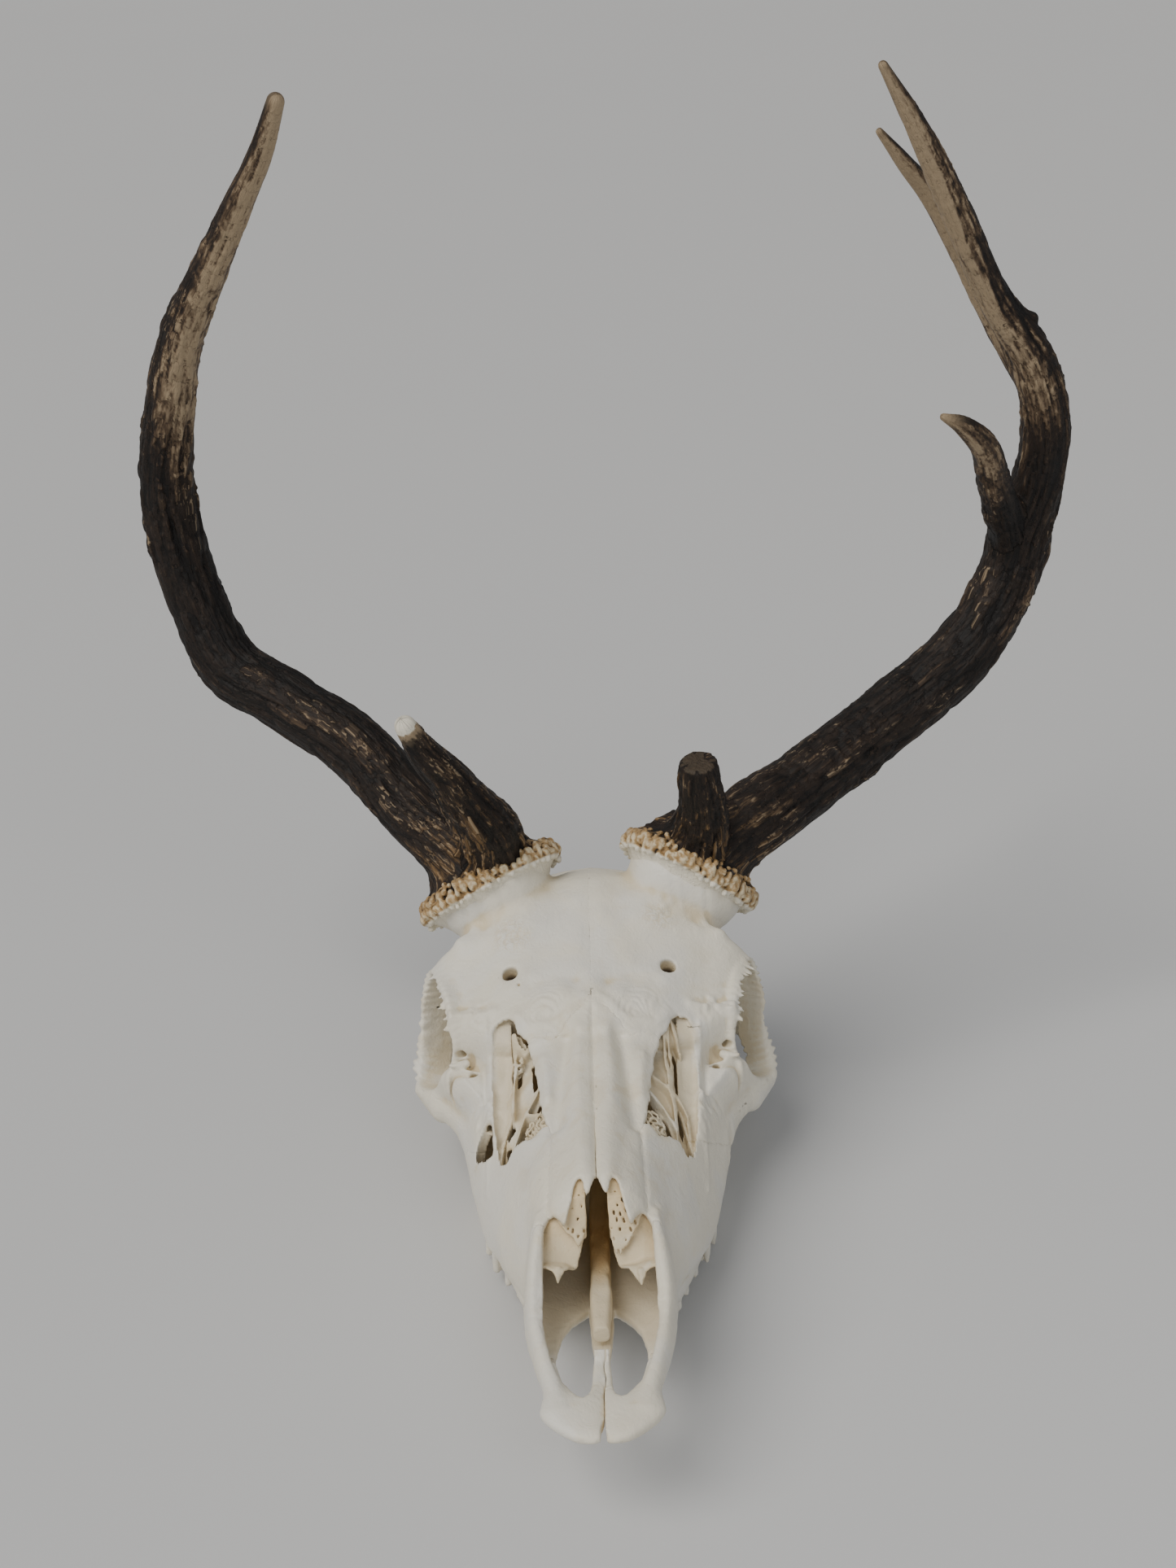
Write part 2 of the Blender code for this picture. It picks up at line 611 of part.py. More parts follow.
def whole_skull():
    masses = [
        loft_along_y("face", FACE, FACE_SHAPE),
        loft_along_y("frontal_roof", FRONTAL_ROOF, ROOF_SHAPE),
        loft_along_y("braincase", BRAINCASE, BRAINCASE_SHAPE),
        tube("basioccipital", BASIOCCIPITAL),
    ]
    for side in (-1, 1):
        masses += paired_masses(side)
    skull = remesh(join("skull", masses), SKULL_VOXEL)
    for cutter in skull_cutters():
        boolean(skull, cutter, "DIFFERENCE")
        drop(cutter)
    skull = smooth(remesh(skull, FINE_VOXEL), SKULL_SMOOTHING)
    triangles = 2 * len(skull.data.polygons)
    decimate(keep_largest(skull), SKULL_TRIANGLES / triangles)
    floor = prism("floor", [(-FAR, -FAR), (FAR, -FAR), (FAR, 0), (-FAR, 0)], -FAR, FAR, "x")
    boolean(skull, floor, "DIFFERENCE")
    drop(floor)
    return skull


# ---------------------------------------------------------------- parting into bones

def part_off(rest, name, *region):
    """Take one piece out of what is left of the skull, and leave a thin gap round it."""
    inside = prism("region", *region)
    outside = prism("region", *region, grow=SUTURE)
    piece = boolean(copy_of(rest, name), inside, "INTERSECT")
    boolean(rest, outside, "DIFFERENCE")
    drop(inside, outside)
    return piece


def halves(pair, name):
    """Part a pair that meets along the middle into its left and right bone."""
    bones = []
    for side, word in ((-1, "left"), (1, "right")):
        outline = [(-FAR, -FAR), (FAR, -FAR), (FAR, FAR), (-FAR, FAR)]
        half = prism("half", outline, SUTURE / 2, FAR, "x", side)
        bones.append(boolean(copy_of(pair, f"{name}_{word}"), half, "INTERSECT"))
        drop(half)
    drop(pair)
    return bones


def part_skull(skull):
    """Part the whole skull along its sutures, front to back; what is left is the sphenoid."""
    bones = halves(part_off(skull, "pair", NASAL_OUTLINE, *NASAL_REACH, "z"), "nasal")
    for name, (inner, outer, outline) in SIDE_REGIONS.items():
        if inner:
            for side, word in ((-1, "left"), (1, "right")):
                bones.append(part_off(skull, f"{name}_{word}", outline, inner, outer, "x", side))
        else:
            bones += halves(part_off(skull, "pair", outline, -outer, outer, "x"), name)
    for name, outline in MIDLINE_REGIONS.items():
        bones.append(part_off(skull, name, outline, -FAR, FAR, "x"))
    skull.name = "sphenoid"
    return [thin_out(keep_largest(bone), BONE_SHARE) for bone in bones + [skull]]


# ---------------------------------------------------------------- bones inside the nose

def inner_bones(skull):
    """Vomer, conchae and ethmoid plates, each cut to fit the walls of the nose."""
    bones = [loft_along_y("vomer", VOMER, (3.0, 3.0), sides=12)]
    for side, word in ((-1, "left"), (1, "right")):
        bones.append(sheet_loft(f"concha_{word}", CONCHA_LINE, CONCHA_REACH, CONCHA_HALF_THICKNESS, side))
        bones.append(sheet_loft(f"ethmoid_{word}", ETHMOID_LINE, ETHMOID_REACH, ETHMOID_HALF_THICKNESS,
                                side, stations=3))
    walls = grown_copy(skull, INNER_CLEARANCE)
    for bone in bones:
        keep_largest(boolean(bone, walls, "DIFFERENCE"))
    drop(walls)
    return bones


# ---------------------------------------------------------------- antlers

def antler_base(name, burr):
    """Burr with a pearled edge, and the stem up to where the brow tine leaves."""
    centre, axis, long, half = burr
    axis = unit(axis)
    long = unit(np.array(long) - axis * axis.dot(long))
    short = np.cross(axis, long)
    count = BURR_PEARLS * 2
    rings = []
    for height, share, pearl in BURR_RINGS:
        ring = []
        for i in range(count):
            angle = 2 * math.pi * i / count
            out = pearl * PEARL_DEPTH / 2 * (1 if i % 2 else -1)
            across, along = math.cos(angle), math.sin(angle)
            reach = long * (half[0] * share + out) * across + short * (half[1] * share + out) * along
            ring.append(np.array(centre) + axis * height + reach)
        rings.append(ring)
    return loft(name, rings)


def fork_cut(stops, index):
    """Thin disc across a beam or tine at one of its stops."""
    points = np.array(stops, float)[:, :3]
    direction = np.gradient(points, axis=0)[index]
    radius = stops[index][3] * FORK_CUT_REACH
    bm = bmesh.new()
    bmesh.ops.create_cone(bm, cap_ends=True, segments=FORK_CUT_SIDES, radius1=radius * MM,
                          radius2=radius * MM, depth=GAP * MM)
    turn = Vector((0, 0, 1)).rotation_difference(Vector(direction)).to_matrix().to_4x4()
    bm.transform(Matrix.Translation(Vector(points[index]) * MM) @ turn)
    return new_object("fork_cut", bm)


def island_at(obj, name, place):
    """Copy of the connected piece of a mesh that has the vertex nearest to a place."""
    bm = bmesh.new()
    bm.from_mesh(obj.data)
    target = Vector(place) * MM
    nearest = min(bm.verts, key=lambda vert: (vert.co - target).length)
    for island in islands(bm):
        if nearest not in island:
            bmesh.ops.delete(bm, geom=list(island), context="VERTS")
    return new_object(name, bm)


def antler(word, burr, lengths):
    """One antler, modelled whole and parted by thin cuts at its forks."""
    tubes = [tube(name, stops, across=(0, 1, 0)) for name, stops, cut in lengths]
    whole = smooth(remesh(join("antler", tubes), ANTLER_VOXEL), ANTLER_SMOOTHING)
    decimate(whole, ANTLER_TRIANGLES / (2 * len(whole.data.polygons)))
    base = antler_base("base", burr)
    boolean(whole, base, "UNION")
    grown = grown_copy(whole, GAP)
    drop(base)
    for name, stops, cut in lengths:
        disc = fork_cut(stops, cut)
        boolean(whole, disc, "DIFFERENCE")
        drop(disc)
    pieces = [island_at(whole, f"antler_{word}_base", burr[0])]
    for name, stops, cut in lengths:
        pieces.append(island_at(whole, f"antler_{word}_{name}", stops[len(stops) // 2][:3]))
    drop(whole)
    return pieces, grown


# Lengths of each antler, with the stop at which each is parted from the one before it
LEFT_LENGTHS = (("lower_beam", LEFT_LOWER_BEAM, 1), ("upper_beam", LEFT_UPPER_BEAM, 0),
                ("brow_tine", LEFT_BROW_TINE, 1))
RIGHT_LENGTHS = (("lower_beam", RIGHT_LOWER_BEAM, 1), ("upper_beam", RIGHT_UPPER_BEAM, 0),
                 ("front_tine", RIGHT_FRONT_TINE, 1), ("brow_tine", RIGHT_BROW_TINE, 1),
                 ("trez_tine", RIGHT_TREZ_TINE, 2), ("rear_tine", RIGHT_REAR_TINE, 2))


# ---------------------------------------------------------------- finish

def paint(obj, colour, roughness):
    material = bpy.data.materials.new(obj.name)
    material.use_nodes = True
    shader = material.node_tree.nodes["Principled BSDF"]
    shader.inputs["Base Color"].default_value = colour
    shader.inputs["Roughness"].default_value = roughness
    shader.inputs["Metallic"].default_value = 0.0
    obj.data.materials.clear()
    obj.data.materials.append(material)


def settle(obj):
    """Press small flats at floor level, move the mesh to the part's own origin and shade it."""
    bm = bmesh.new()
    bm.from_mesh(obj.data)
    for vert in bm.verts:
        if vert.co.z < FLAT_DEPTH * MM:
            vert.co.z = 0.0
    bmesh.ops.translate(bm, verts=bm.verts, vec=[-c * MM for c in ORIGIN])
    bm.to_mesh(obj.data)
    bm.free()
    obj.data.shade_smooth()
    obj.data.set_sharp_from_angle(angle=SMOOTH_SHADING_LIMIT)


def clear_scene():
    for obj in list(bpy.data.objects):
        bpy.data.objects.remove(obj, do_unlink=True)


def build():
    clear_scene()
    skull = whole_skull()
    left, left_grown = antler("left", LEFT_BURR, LEFT_LENGTHS)
    right, right_grown = antler("right", RIGHT_BURR, RIGHT_LENGTHS)
    for grown in (left_grown, right_grown):
        boolean(skull, grown, "DIFFERENCE")
        drop(grown)
    inner = inner_bones(skull)
    bones = part_skull(skull)
    for obj in bones:
        paint(obj, BONE, BONE_ROUGHNESS)
    for obj in inner:
        paint(obj, INNER_BONE, BONE_ROUGHNESS)
    for obj in left + right:
        paint(obj, ANTLER, ANTLER_ROUGHNESS)
    for obj in bones + inner + left + right:
        settle(obj)


build()
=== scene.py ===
"""Looks of the deer skull: its bones and antlers in full detail, with their materials and the studio.

Every table is in millimetres in the skull's own frame: X to the right of the picture, Y back from
the front end of the upper jaw, Z up from the floor. The skull is modelled as a field of distances
on a regular grid, from the same masses as the solids. The field is parted along the sutures, and
each bone is meshed on its own. Outlines are given as (x, y) seen from above, and those that look
from the side as (y, z).
"""
import math

import bpy
import numpy as np
import openvdb
from mathutils import Matrix


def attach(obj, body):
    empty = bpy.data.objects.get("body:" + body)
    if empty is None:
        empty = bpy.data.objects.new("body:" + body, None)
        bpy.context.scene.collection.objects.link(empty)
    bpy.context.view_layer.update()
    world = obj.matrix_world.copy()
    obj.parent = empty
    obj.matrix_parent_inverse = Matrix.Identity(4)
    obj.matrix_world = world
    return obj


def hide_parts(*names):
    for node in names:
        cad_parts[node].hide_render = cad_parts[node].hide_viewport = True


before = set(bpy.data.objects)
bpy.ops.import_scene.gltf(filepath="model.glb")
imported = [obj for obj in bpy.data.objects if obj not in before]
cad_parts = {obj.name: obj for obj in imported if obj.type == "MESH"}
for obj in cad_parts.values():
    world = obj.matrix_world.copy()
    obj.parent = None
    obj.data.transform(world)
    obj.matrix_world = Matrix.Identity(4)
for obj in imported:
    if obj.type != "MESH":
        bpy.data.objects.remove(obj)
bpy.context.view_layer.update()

MM = 0.001
ORIGIN = np.array((14.8, 210.6, 0.0))       # point of the skull's frame that is the model's origin
VOXEL = 0.8          # of the skull
FINE_VOXEL = 0.5     # of the thin bones inside the nose, and of the burrs
ANTLER_VOXEL = 0.78
BONE_ADAPTIVITY = 0.003                     # how far flat places may be meshed more coarsely, 0 to 1
BURR_ADAPTIVITY = 0.001
ANTLER_ADAPTIVITY = 0.006
FAR = 9.0                                   # distance given to cells far from any surface
SKULL_LOW = (0.0, -6.0, -4.0)               # corners of the right half's grid
SKULL_HIGH = (96.0, 374.0, 168.0)
FAINT_SUTURE = -0.8                         # most bones lap over each other by this much
GROWN_SUTURE = -1.9                         # lap where the bones have grown together
OPEN_SUTURE = 0.12                          # gap between the nasal bones in front
SIDES = ((-1, "left"), (1, "right"))        # sign of X, and the side of the picture

# ---------------------------------------------------------------- tables: masses of the skull

# Lofts along Y: (y, half width, z of the greatest width, top z, bottom z)
FACE = [
    (46, 20.0, 44.5, 47, 36.0), (51, 26.0, 45, 54, 32.6), (58, 29.2, 45.4, 62, 31.0),
    (72, 31.0, 46, 70, 29.7), (92, 33.0, 44, 81, 28.0),
    (107, 37.0, 40, 88, 26.6), (125, 44.0, 34, 90, 25.0), (143, 50.0, 30, 91, 23.5),
    (160, 54.5, 32, 93, 22.0), (177, 58.0, 38, 95, 20.5), (192, 60.5, 44, 98, 19.2),
    (205, 61.0, 52, 101, 18.2), (218, 60.0, 58, 106, 24.0), (232, 52.0, 62, 108, 30.0),
]
FACE_SHAPE = (1.75, 2.8)                    # squareness of the upper and of the lower half
NASAL_CAVITY = [
    (44, 24.5, 46, 60, 36.4), (56, 26.4, 46, 66, 35.4), (72, 27.4, 47, 66, 34.2), (92, 29.0, 46, 77, 33.0),
    (107, 32.0, 42, 83.5, 31.8), (125, 39.0, 37, 85.5, 30.6), (143, 45.0, 34, 86.5, 29.5),
    (160, 49.0, 36, 88.5, 28.8), (177, 51.5, 42, 90.5, 28.2), (192, 51.5, 50, 93.5, 28.0),
    (205, 49.0, 58, 96.5, 30.0), (214, 46.0, 62, 99.0, 34.0), (226, 36.0, 68, 98.0, 44.0),
]
CAVITY_SHAPE = (1.8, 3.0)
FRONTAL_ROOF = [
    (206, 34, 90, 101.5, 84), (216, 52, 86, 105.5, 76), (226, 65, 86, 109.5, 76),
    (240, 69, 92, 115, 83), (254, 74, 97, 121, 89), (264, 76.5, 99, 126, 92),
    (271, 64, 102, 129, 91), (279, 58, 103, 132.5, 88), (292, 48, 104, 134, 86),
    (306, 38, 100, 129, 84),
]
ROOF_SHAPE = (1.9, 3.0)
BRAINCASE = [
    (206, 22, 78, 98, 52), (222, 24, 78, 104, 48), (238, 25, 76, 110, 42), (254, 29, 74, 116, 34),
    (270, 38, 72, 123, 28), (288, 45, 70, 129, 24), (306, 47.5, 68, 128, 22),
    (322, 47, 64, 119, 22), (338, 45, 60, 108, 22), (349, 41, 56, 98, 24), (356, 33, 54, 88, 30),
]
BRAINCASE_SHAPE = (2.1, 2.4)

# Front plate of the premaxilla: (y, inner x, outer x, top z, bottom z)
PREMAXILLA_PLATE = [
    (0.2, 2.4, 6.0, 47.2, 45.6), (1.4, 0.6, 10.4, 48.4, 44.6), (4.2, -1, 14.6, 49.4, 43.6),
    (8.2, -1, 19.2, 50.0, 43.0), (12, -1, 22.6, 50.4, 42.8), (15.6, -1, 24.5, 50.6, 42.6),
    (20, -1, 24.2, 50.4, 42.4), (25, -1, 23.0, 49.6, 41.6), (30, -1, 21.6, 48.0, 41.4),
]
PLATE_SHAPE = (2.6, 2.6)
INCISOR_NOTCH = [(-1.3, -4), (1.6, -4), (1.2, 3), (0.5, 5), (0.7, 8), (0.1, 12.5), (-0.3, 8), (-1.0, 4)]

# Bars of the right side: each stop is (x, y, z, half width, half height)
PREMAXILLA_BAR = [
    (17.0, 16, 46.5, 4.6, 3.8), (18.8, 27, 46.5, 4.0, 5.0), (23.4, 46, 46.5, 4.2, 7.5),
    (27.3, 66, 48.6, 4.0, 9.6), (27.2, 84, 56.5, 3.8, 9.0), (25.0, 102, 67.0, 3.4, 7.0),
    (26.5, 113, 66.0, 2.6, 4.0),
]
PALATINE_PROCESS = [
    (2.4, 20, 44.8, 3.3, 3.6), (2.2, 28, 44.6, 2.9, 3.2), (1.9, 34, 44.4, 2.6, 2.9),
    (1.6, 48, 43.9, 2.2, 2.6), (1.5, 64.5, 43.7, 2.1, 2.6),
]
ALVEOLAR_RIDGE = [
    (27, 104, 27, 5, 4.5), (30, 118, 24, 7.5, 6.5), (36, 145, 21, 9.5, 8),
    (40, 175, 19, 11, 9), (42, 205, 17.5, 11, 9), (42, 226, 19, 8.5, 8),
]
CHEEK = [
    (48, 176, 37, 8, 9), (54, 196, 42, 8, 10), (62, 214, 47, 7, 9), (74, 228, 49, 6, 7),
    (82.5, 238, 49, 4, 5),
]
ORBIT_FLOOR = [(50, 204, 61, 8, 14), (60, 214, 63, 8, 14), (68, 223, 60, 6, 10), (74, 234, 52, 6, 5)]
ZYGOMATIC_ARCH = [
    (74, 226, 46, 4.5, 6.0), (80.5, 240, 46, 3.8, 6.0), (81, 260, 44, 3.6, 5.5),
    (78, 280, 43, 3.6, 5.5), (71, 297, 44, 4.5, 6.0), (58, 308, 46, 8.0, 7.0),
    (44, 312, 48, 8.0, 9.0),
]
SQUAMOSAL_SHELF = [(40, 300, 44, 12, 6), (60, 303, 43, 11, 5), (71, 300, 43, 6, 4.5)]
PARACONDYLAR = [
    (38, 336, 44, 8, 8), (38.5, 339, 30, 5.5, 7.5), (37.5, 340, 16, 4.2, 6.0),
    (36.0, 340, 6, 3.6, 4.6), (35.5, 340, -3.0, 3.2, 4.2),
]
PTERYGOID = [
    (24, 222, 20, 6.0, 8), (18, 236, 22, 2.6, 13), (16, 252, 24, 2.4, 14), (17, 266, 28, 4, 12),
]
PEDICLE = [
    (35, 283, 104, 26, 21), (40, 289, 112, 24, 20), (45, 296, 120, 26, 21.5), (49, 301, 127, 31, 25),
]
PEDICLE_ACROSS = (0.84, 0, -0.54)
NUCHAL_CREST = [
    (0, 346, 104, 5, 3), (18, 345, 101, 5, 3), (32, 341, 92, 4.5, 3), (42, 335, 76, 4, 3),
    (44, 331, 58, 4, 3),
]
TEMPORAL_LINE = [
    (62, 266, 113, 1.8, 1.8), (52, 276, 114, 1.6, 1.6), (44, 300, 104, 2, 2), (40, 325, 96, 2, 2),
    (34, 342, 94, 2, 2),
]
EAR_TUBE = [(38, 318, 40, 6, 6), (47, 316, 43, 5, 5), (52, 315, 45, 4.6, 4.6)]
BASIOCCIPITAL = [(0, 262, 30, 11, 9), (0, 290, 25, 11, 8), (0, 322, 23, 14, 8), (0, 352, 27, 18, 9)]

# Ellipsoids: (centre, half sizes)
CONDYLE = ((17, 353.5, 33), (11, 12.5, 14))
BULLA = ((25, 313, 20), (10, 15, 12))
FORAMEN_MAGNUM = ((0, 366, 46), (12.5, 24, 12))
EAR_HOLE = ((54, 314.5, 45.5), (7, 2.6, 2.6))

# Orbit: a ring that faces out, forward and a little up. Stops of its outer edge: (x, y, z, depth)
ORBIT_AXIS = (0.852, -0.474, 0.22)
ORBIT_EDGE = [
    (67.5, 220, 76, 11), (67, 225, 91, 9), (70, 243, 101, 9), (77, 262, 101, 13),
    (83, 262, 84, 16), (84.5, 255, 64, 17), (86, 239, 51.0, 13), (76, 226, 56, 10),
]
ORBIT_RIM = 1.9                 # half thickness of the rim
# Rings of the socket's hollow: (distance out along the axis, share of the rim's size, shift back)
ORBIT_HOLLOW = [(14, 1.05, 0), (0, 1.0, 0), (-18, 0.92, 3), (-34, 0.72, 9), (-46, 0.3, 12)]
BROW_EDGE = [(66.5, 226, 92), (67.5, 232, 96.5), (69.5, 240, 100), (71.5, 249, 102), (75, 257, 102)]
# Outlines of the openings; those of a pair are for the right side
FISSURE = [
    (4.6, 27), (5.6, 23.6), (7.6, 21.8), (9.6, 22.6), (12.2, 26.6), (14.6, 32), (17.0, 39), (18.9, 50),
    (19.2, 56), (18.4, 66), (16.4, 76), (12.8, 84), (9, 89), (5.2, 93), (5.0, 84), (4.3, 72), (3.3, 61),
    (3.3, 48), (4.0, 34),
]
BAR_FLANK = [(17.6, 42), (20.0, 43), (23.4, 60), (23.4, 90), (16.0, 84)]        # bar beside the fissure
VACUITY = [
    (47, 216), (44, 219), (39, 219.5), (36.5, 216), (34.6, 211), (31, 207), (29.6, 203), (27.6, 197),
    (27, 190), (25.4, 182), (24.4, 168), (22, 157.5), (27, 153.5), (33, 156.5), (36.5, 158),
    (40, 154), (43, 158), (44.6, 166), (46.0, 177), (47.2, 201),
]
APERTURE = [
    (14, 26), (20, 40), (23.6, 60), (23.4, 84), (22.6, 100), (20.6, 103.2), (18.6, 102.4), (17.0, 100.2),
    (15.4, 97.2), (14.0, 96.0), (12.8, 96.6), (11.8, 99.8), (10.8, 103.2), (10.0, 106.4), (9.4, 109.0),
    (8.4, 110.9), (7.0, 111.2), (6.0, 109.8), (5.4, 106.6), (4.4, 104.4), (3.2, 104.8), (1.8, 107.6),
    (0.6, 112),
]
LEFT_HOLE = [
    (-47.8, 182), (-50.6, 183.0), (-53.6, 182.0), (-55.4, 179.0), (-54.8, 175.0), (-52.6, 171.4),
    (-49.6, 168.0), (-47.2, 166.8), (-46.4, 170), (-47.0, 176),
]
BROKEN_CHEEK = [
    (70, 180), (61, 181), (59.6, 185), (61.2, 188), (60, 191), (61.6, 195), (60.6, 198), (70, 200),
]
CHOANA = [(0, 244, 36, 13, 9), (0, 224, 40, 14, 9), (0, 200, 44, 14, 10)]   # rear end of the nose, as a bar
FRONTAL_SPLIT = [(-0.4, 213), (0.4, 213), (0.25, 227), (-0.25, 227)]
# Brow holes: (side, x, y), and one pinhole, as a bar
BROW_HOLES = ((-1, 39, 239), (1, 37, 240))
BROW_PINHOLE = [(-34, 234, 114, 0.8), (-34, 235, 104, 0.7)]
# Bars cut at the front edge of the right orbit, with their blends, and the spur between them
TEAR_CUTS = [
    ([(66, 217, 81.5, 1.6), (62.5, 221, 80, 1.9), (57, 231, 78, 1.7)], 0.6),
    ([(66, 213.4, 77.5, 1.6), (58, 209.5, 76.5, 2.1), (56, 213, 69, 1.8)], 0.6),
    ([(52.2, 211.6, 92, 0.5), (52.2, 212.6, 80, 0.5)], 0.3),
]
TEAR_SPUR = [(60, 217.4, 77.0, 2.2, 1.7), (64.5, 216.2, 77.0, 1.6, 1.3), (67.6, 215.6, 77.4, 0.8, 0.7)]
LEFT_SPUR = [(-78.5, 231, 47, 2.0), (-79.5, 229.5, 41, 0.7)]                # below the left orbit

# Cheek teeth of one side: (y, length, half width, x, drop from the palate to the cusps)
CHEEK_TEETH = [
    (118, 12, 5.2, 28.3, 12.5), (131, 13, 6.0, 31.2, 13.0), (144.5, 13, 7.0, 35.2, 14.0),
    (160, 17, 8.4, 39.8, 16.5), (179.5, 20, 9.4, 42.8, 19.2), (201.5, 22, 9.8, 43.5, 20.2),
]
PALATE_FRONT_Z = 36.0
PALATE_SLOPE = -0.0875
CUSP_DEPTH = 3.4
CREST_DEPTH = 1.5               # of the crescent hollows on the chewing face
RIB_PLACES = {-0.48: 1.5, -0.25: 1.1, 0.0: 1.5, 0.25: 1.1, 0.48: 1.5}   # share of the length: radius

# Ridges of the upper face, grooves where the height is negative: (line for both sides, width, height)
NASAL_RIDGES = [
    ([(6.0, 112), (7.0, 160), (8.0, 205)], 4.6, 2.0),
    ([(0, 108), (0, 214)], 1.5, -1.2),
    ([(11.5, 204), (14, 186), (15.5, 170), (17, 152)], 3.8, -3.2),
    ([(22.8, 194), (21.0, 170)], 2.6, 1.4),
    ([(15.5, 128), (15, 108)], 4.5, 0.9),
    ([(21, 104), (20.6, 128), (20, 150)], 1.1, -0.8),
]
FRONTAL_RIDGES = [
    ([(0, 236), (0, 290)], 4.0, -0.7),
    ([(0, 219), (0, 236)], 5.0, 1.0),
    ([(4, 222), (8, 219), (12, 214), (18, 210), (24, 211), (30, 211), (35, 218)], 2.2, 1.1),
    ([(14, 223), (20, 221), (27, 219)], 5.0, 1.5),
    ([(8, 232), (16, 235), (28, 232)], 4.5, -1.3),
    ([(44, 226), (52, 236), (56, 252)], 8.0, -1.8),
    ([(24, 246), (16, 262), (14, 284)], 7.0, -0.9),
]
LACRIMAL_RIDGES = [
    ([(66, 227), (61, 225), (56, 221.5), (51, 217), (49.2, 206), (48.6, 190), (47.8, 170)], 2.6, 1.8),
    ([(59, 215.5), (54.5, 215), (51.4, 211.5), (50.6, 204), (50.2, 194)], 1.9, -2.4),
    ([(67, 208), (61, 206), (57, 200.5), (53, 195.5), (49.5, 189)], 1.2, 1.0),
    ([(66, 213.2), (57, 209.5)], 1.6, -4.4),
    ([(62, 229), (52, 225), (46, 225)], 2.2, 1.3),
    ([(60, 197), (54, 195.5), (50.2, 193.5), (49.8, 186)], 0.7, -0.8),
]
WORN_FRONTAL = [((-37, 262), 8), ((33, 268), 7)]        # middles and radii of the rough patches

# ---------------------------------------------------------------- tables: parting into bones

# One nasal bone's outline from above. The other paired bones have a least and a greatest distance
# from the middle, and like the middle bones an outline (y, z) seen from the side.
NASAL_REGION = [
    (21.4, 84), (21.4, 104), (20.4, 128), (19.6, 150), (23, 160), (25.4, 177), (28.4, 200), (31, 206),
    (28, 207), (22, 206), (18, 205), (14, 208), (11, 212), (8, 215), (4, 218), (2.4, 224), (0, 231),
]
NASAL_LOW, NASAL_HIGH = (-2, 82, 64), (34, 236, 130)
SIDE_REGIONS = {
    "premaxilla": (0, 60, [(-20, 0), (49, 0), (54, 34), (75, 46), (92, 62), (106, 80), (106, 100),
                           (-20, 100)]),
    "maxilla": (0, 90, [(20, -20), (229, -20), (229, 26), (206, 34), (196, 42), (182, 52),
                        (170, 62), (157, 77), (148, 120), (20, 120)]),
    "lacrimal": (36, 90, [(140, 120), (157, 60), (182, 40), (196, 50), (238, 55), (232, 72),
                          (225, 88), (216, 95), (206, 120)]),
    "zygomatic": (48, 110, [(150, 20), (288, 20), (284, 66), (275, 80), (243, 80), (238, 55),
                            (196, 50), (170, 60)]),
    "frontal": (0, 110, [(180, 160), (196, 78), (240, 62), (272, 78), (300, 80), (303, 96),
                         (320, 115), (345, 160)]),
    "temporal": (16, 110, [(270, -20), (326, -20), (326, 44), (343, 60), (343, 74), (284, 74),
                           (276, 60)]),
}
MIDLINE_REGIONS = {
    "occipital": [(324, -20), (324, 50), (340, 60), (345, 130), (420, 130), (420, -20)],
    "parietal": [(274, 72), (350, 73), (350, 150), (274, 150)],
}
SKULL_HALF_WIDTH = 110
SUTURES = {"premaxilla": OPEN_SUTURE, "maxilla": FAINT_SUTURE}      # the other pairs have grown together

# ---------------------------------------------------------------- tables: bones inside the nose

VOMER = [
    (65.8, 3.5, 42, 46.3, 38.6), (74, 4.1, 42, 46.9, 36.5), (86, 4.7, 42, 47.4, 35.0),
    (100, 4.3, 42, 48.5, 30.0), (140, 4.4, 42, 50.0, 26.0), (200, 4.4, 46, 54.0, 26.0),
]
VOMER_SHAPE = (3.4, 3.0)
# Thin scroll below each nasal bone: its heights by y (rows) and x (columns), and its outline
CONCHA_X = (4, 8, 12, 16, 19, 25, 32)
CONCHA_Y = (76, 80, 86, 92, 100, 106, 114, 124)
CONCHA_Z = [
    (65, 63, 60, 57, 58.5, 59.5, 57), (64, 63, 60.5, 58, 59.5, 61, 59), (61, 60.5, 61, 61, 62, 63, 61),
    (62, 62.5, 63, 64.5, 66, 66, 64), (73, 74, 73.5, 73, 72.5, 70, 68), (81.5, 82, 81.5, 80, 78.5, 75, 72),
    (86, 86, 85, 84, 82, 79, 76), (88, 88, 88, 87, 86, 84, 82),
]
CONCHA_OUTLINE = [
    (33, 85), (26, 83.0), (22.8, 84.6), (19.8, 82.6), (17.2, 79.6), (14.8, 82.0), (12.0, 85.8),
    (9.2, 90.0), (7.2, 94), (5.6, 99), (4.8, 106), (5.2, 116), (10, 122), (30, 118),
]
CONCHA_LOW, CONCHA_HIGH = (3, 74, 42), (36, 126, 92)
CONCHA_BACK = {-1: 2.0, 1: -0.5}            # how far back each side's outlines are moved
CONCHA_SPUR_Y = {-1: 81.5, 1: 78.5}
CONCHA_HALF_THICK, LEAF_HALF_THICK = 0.55, 0.5
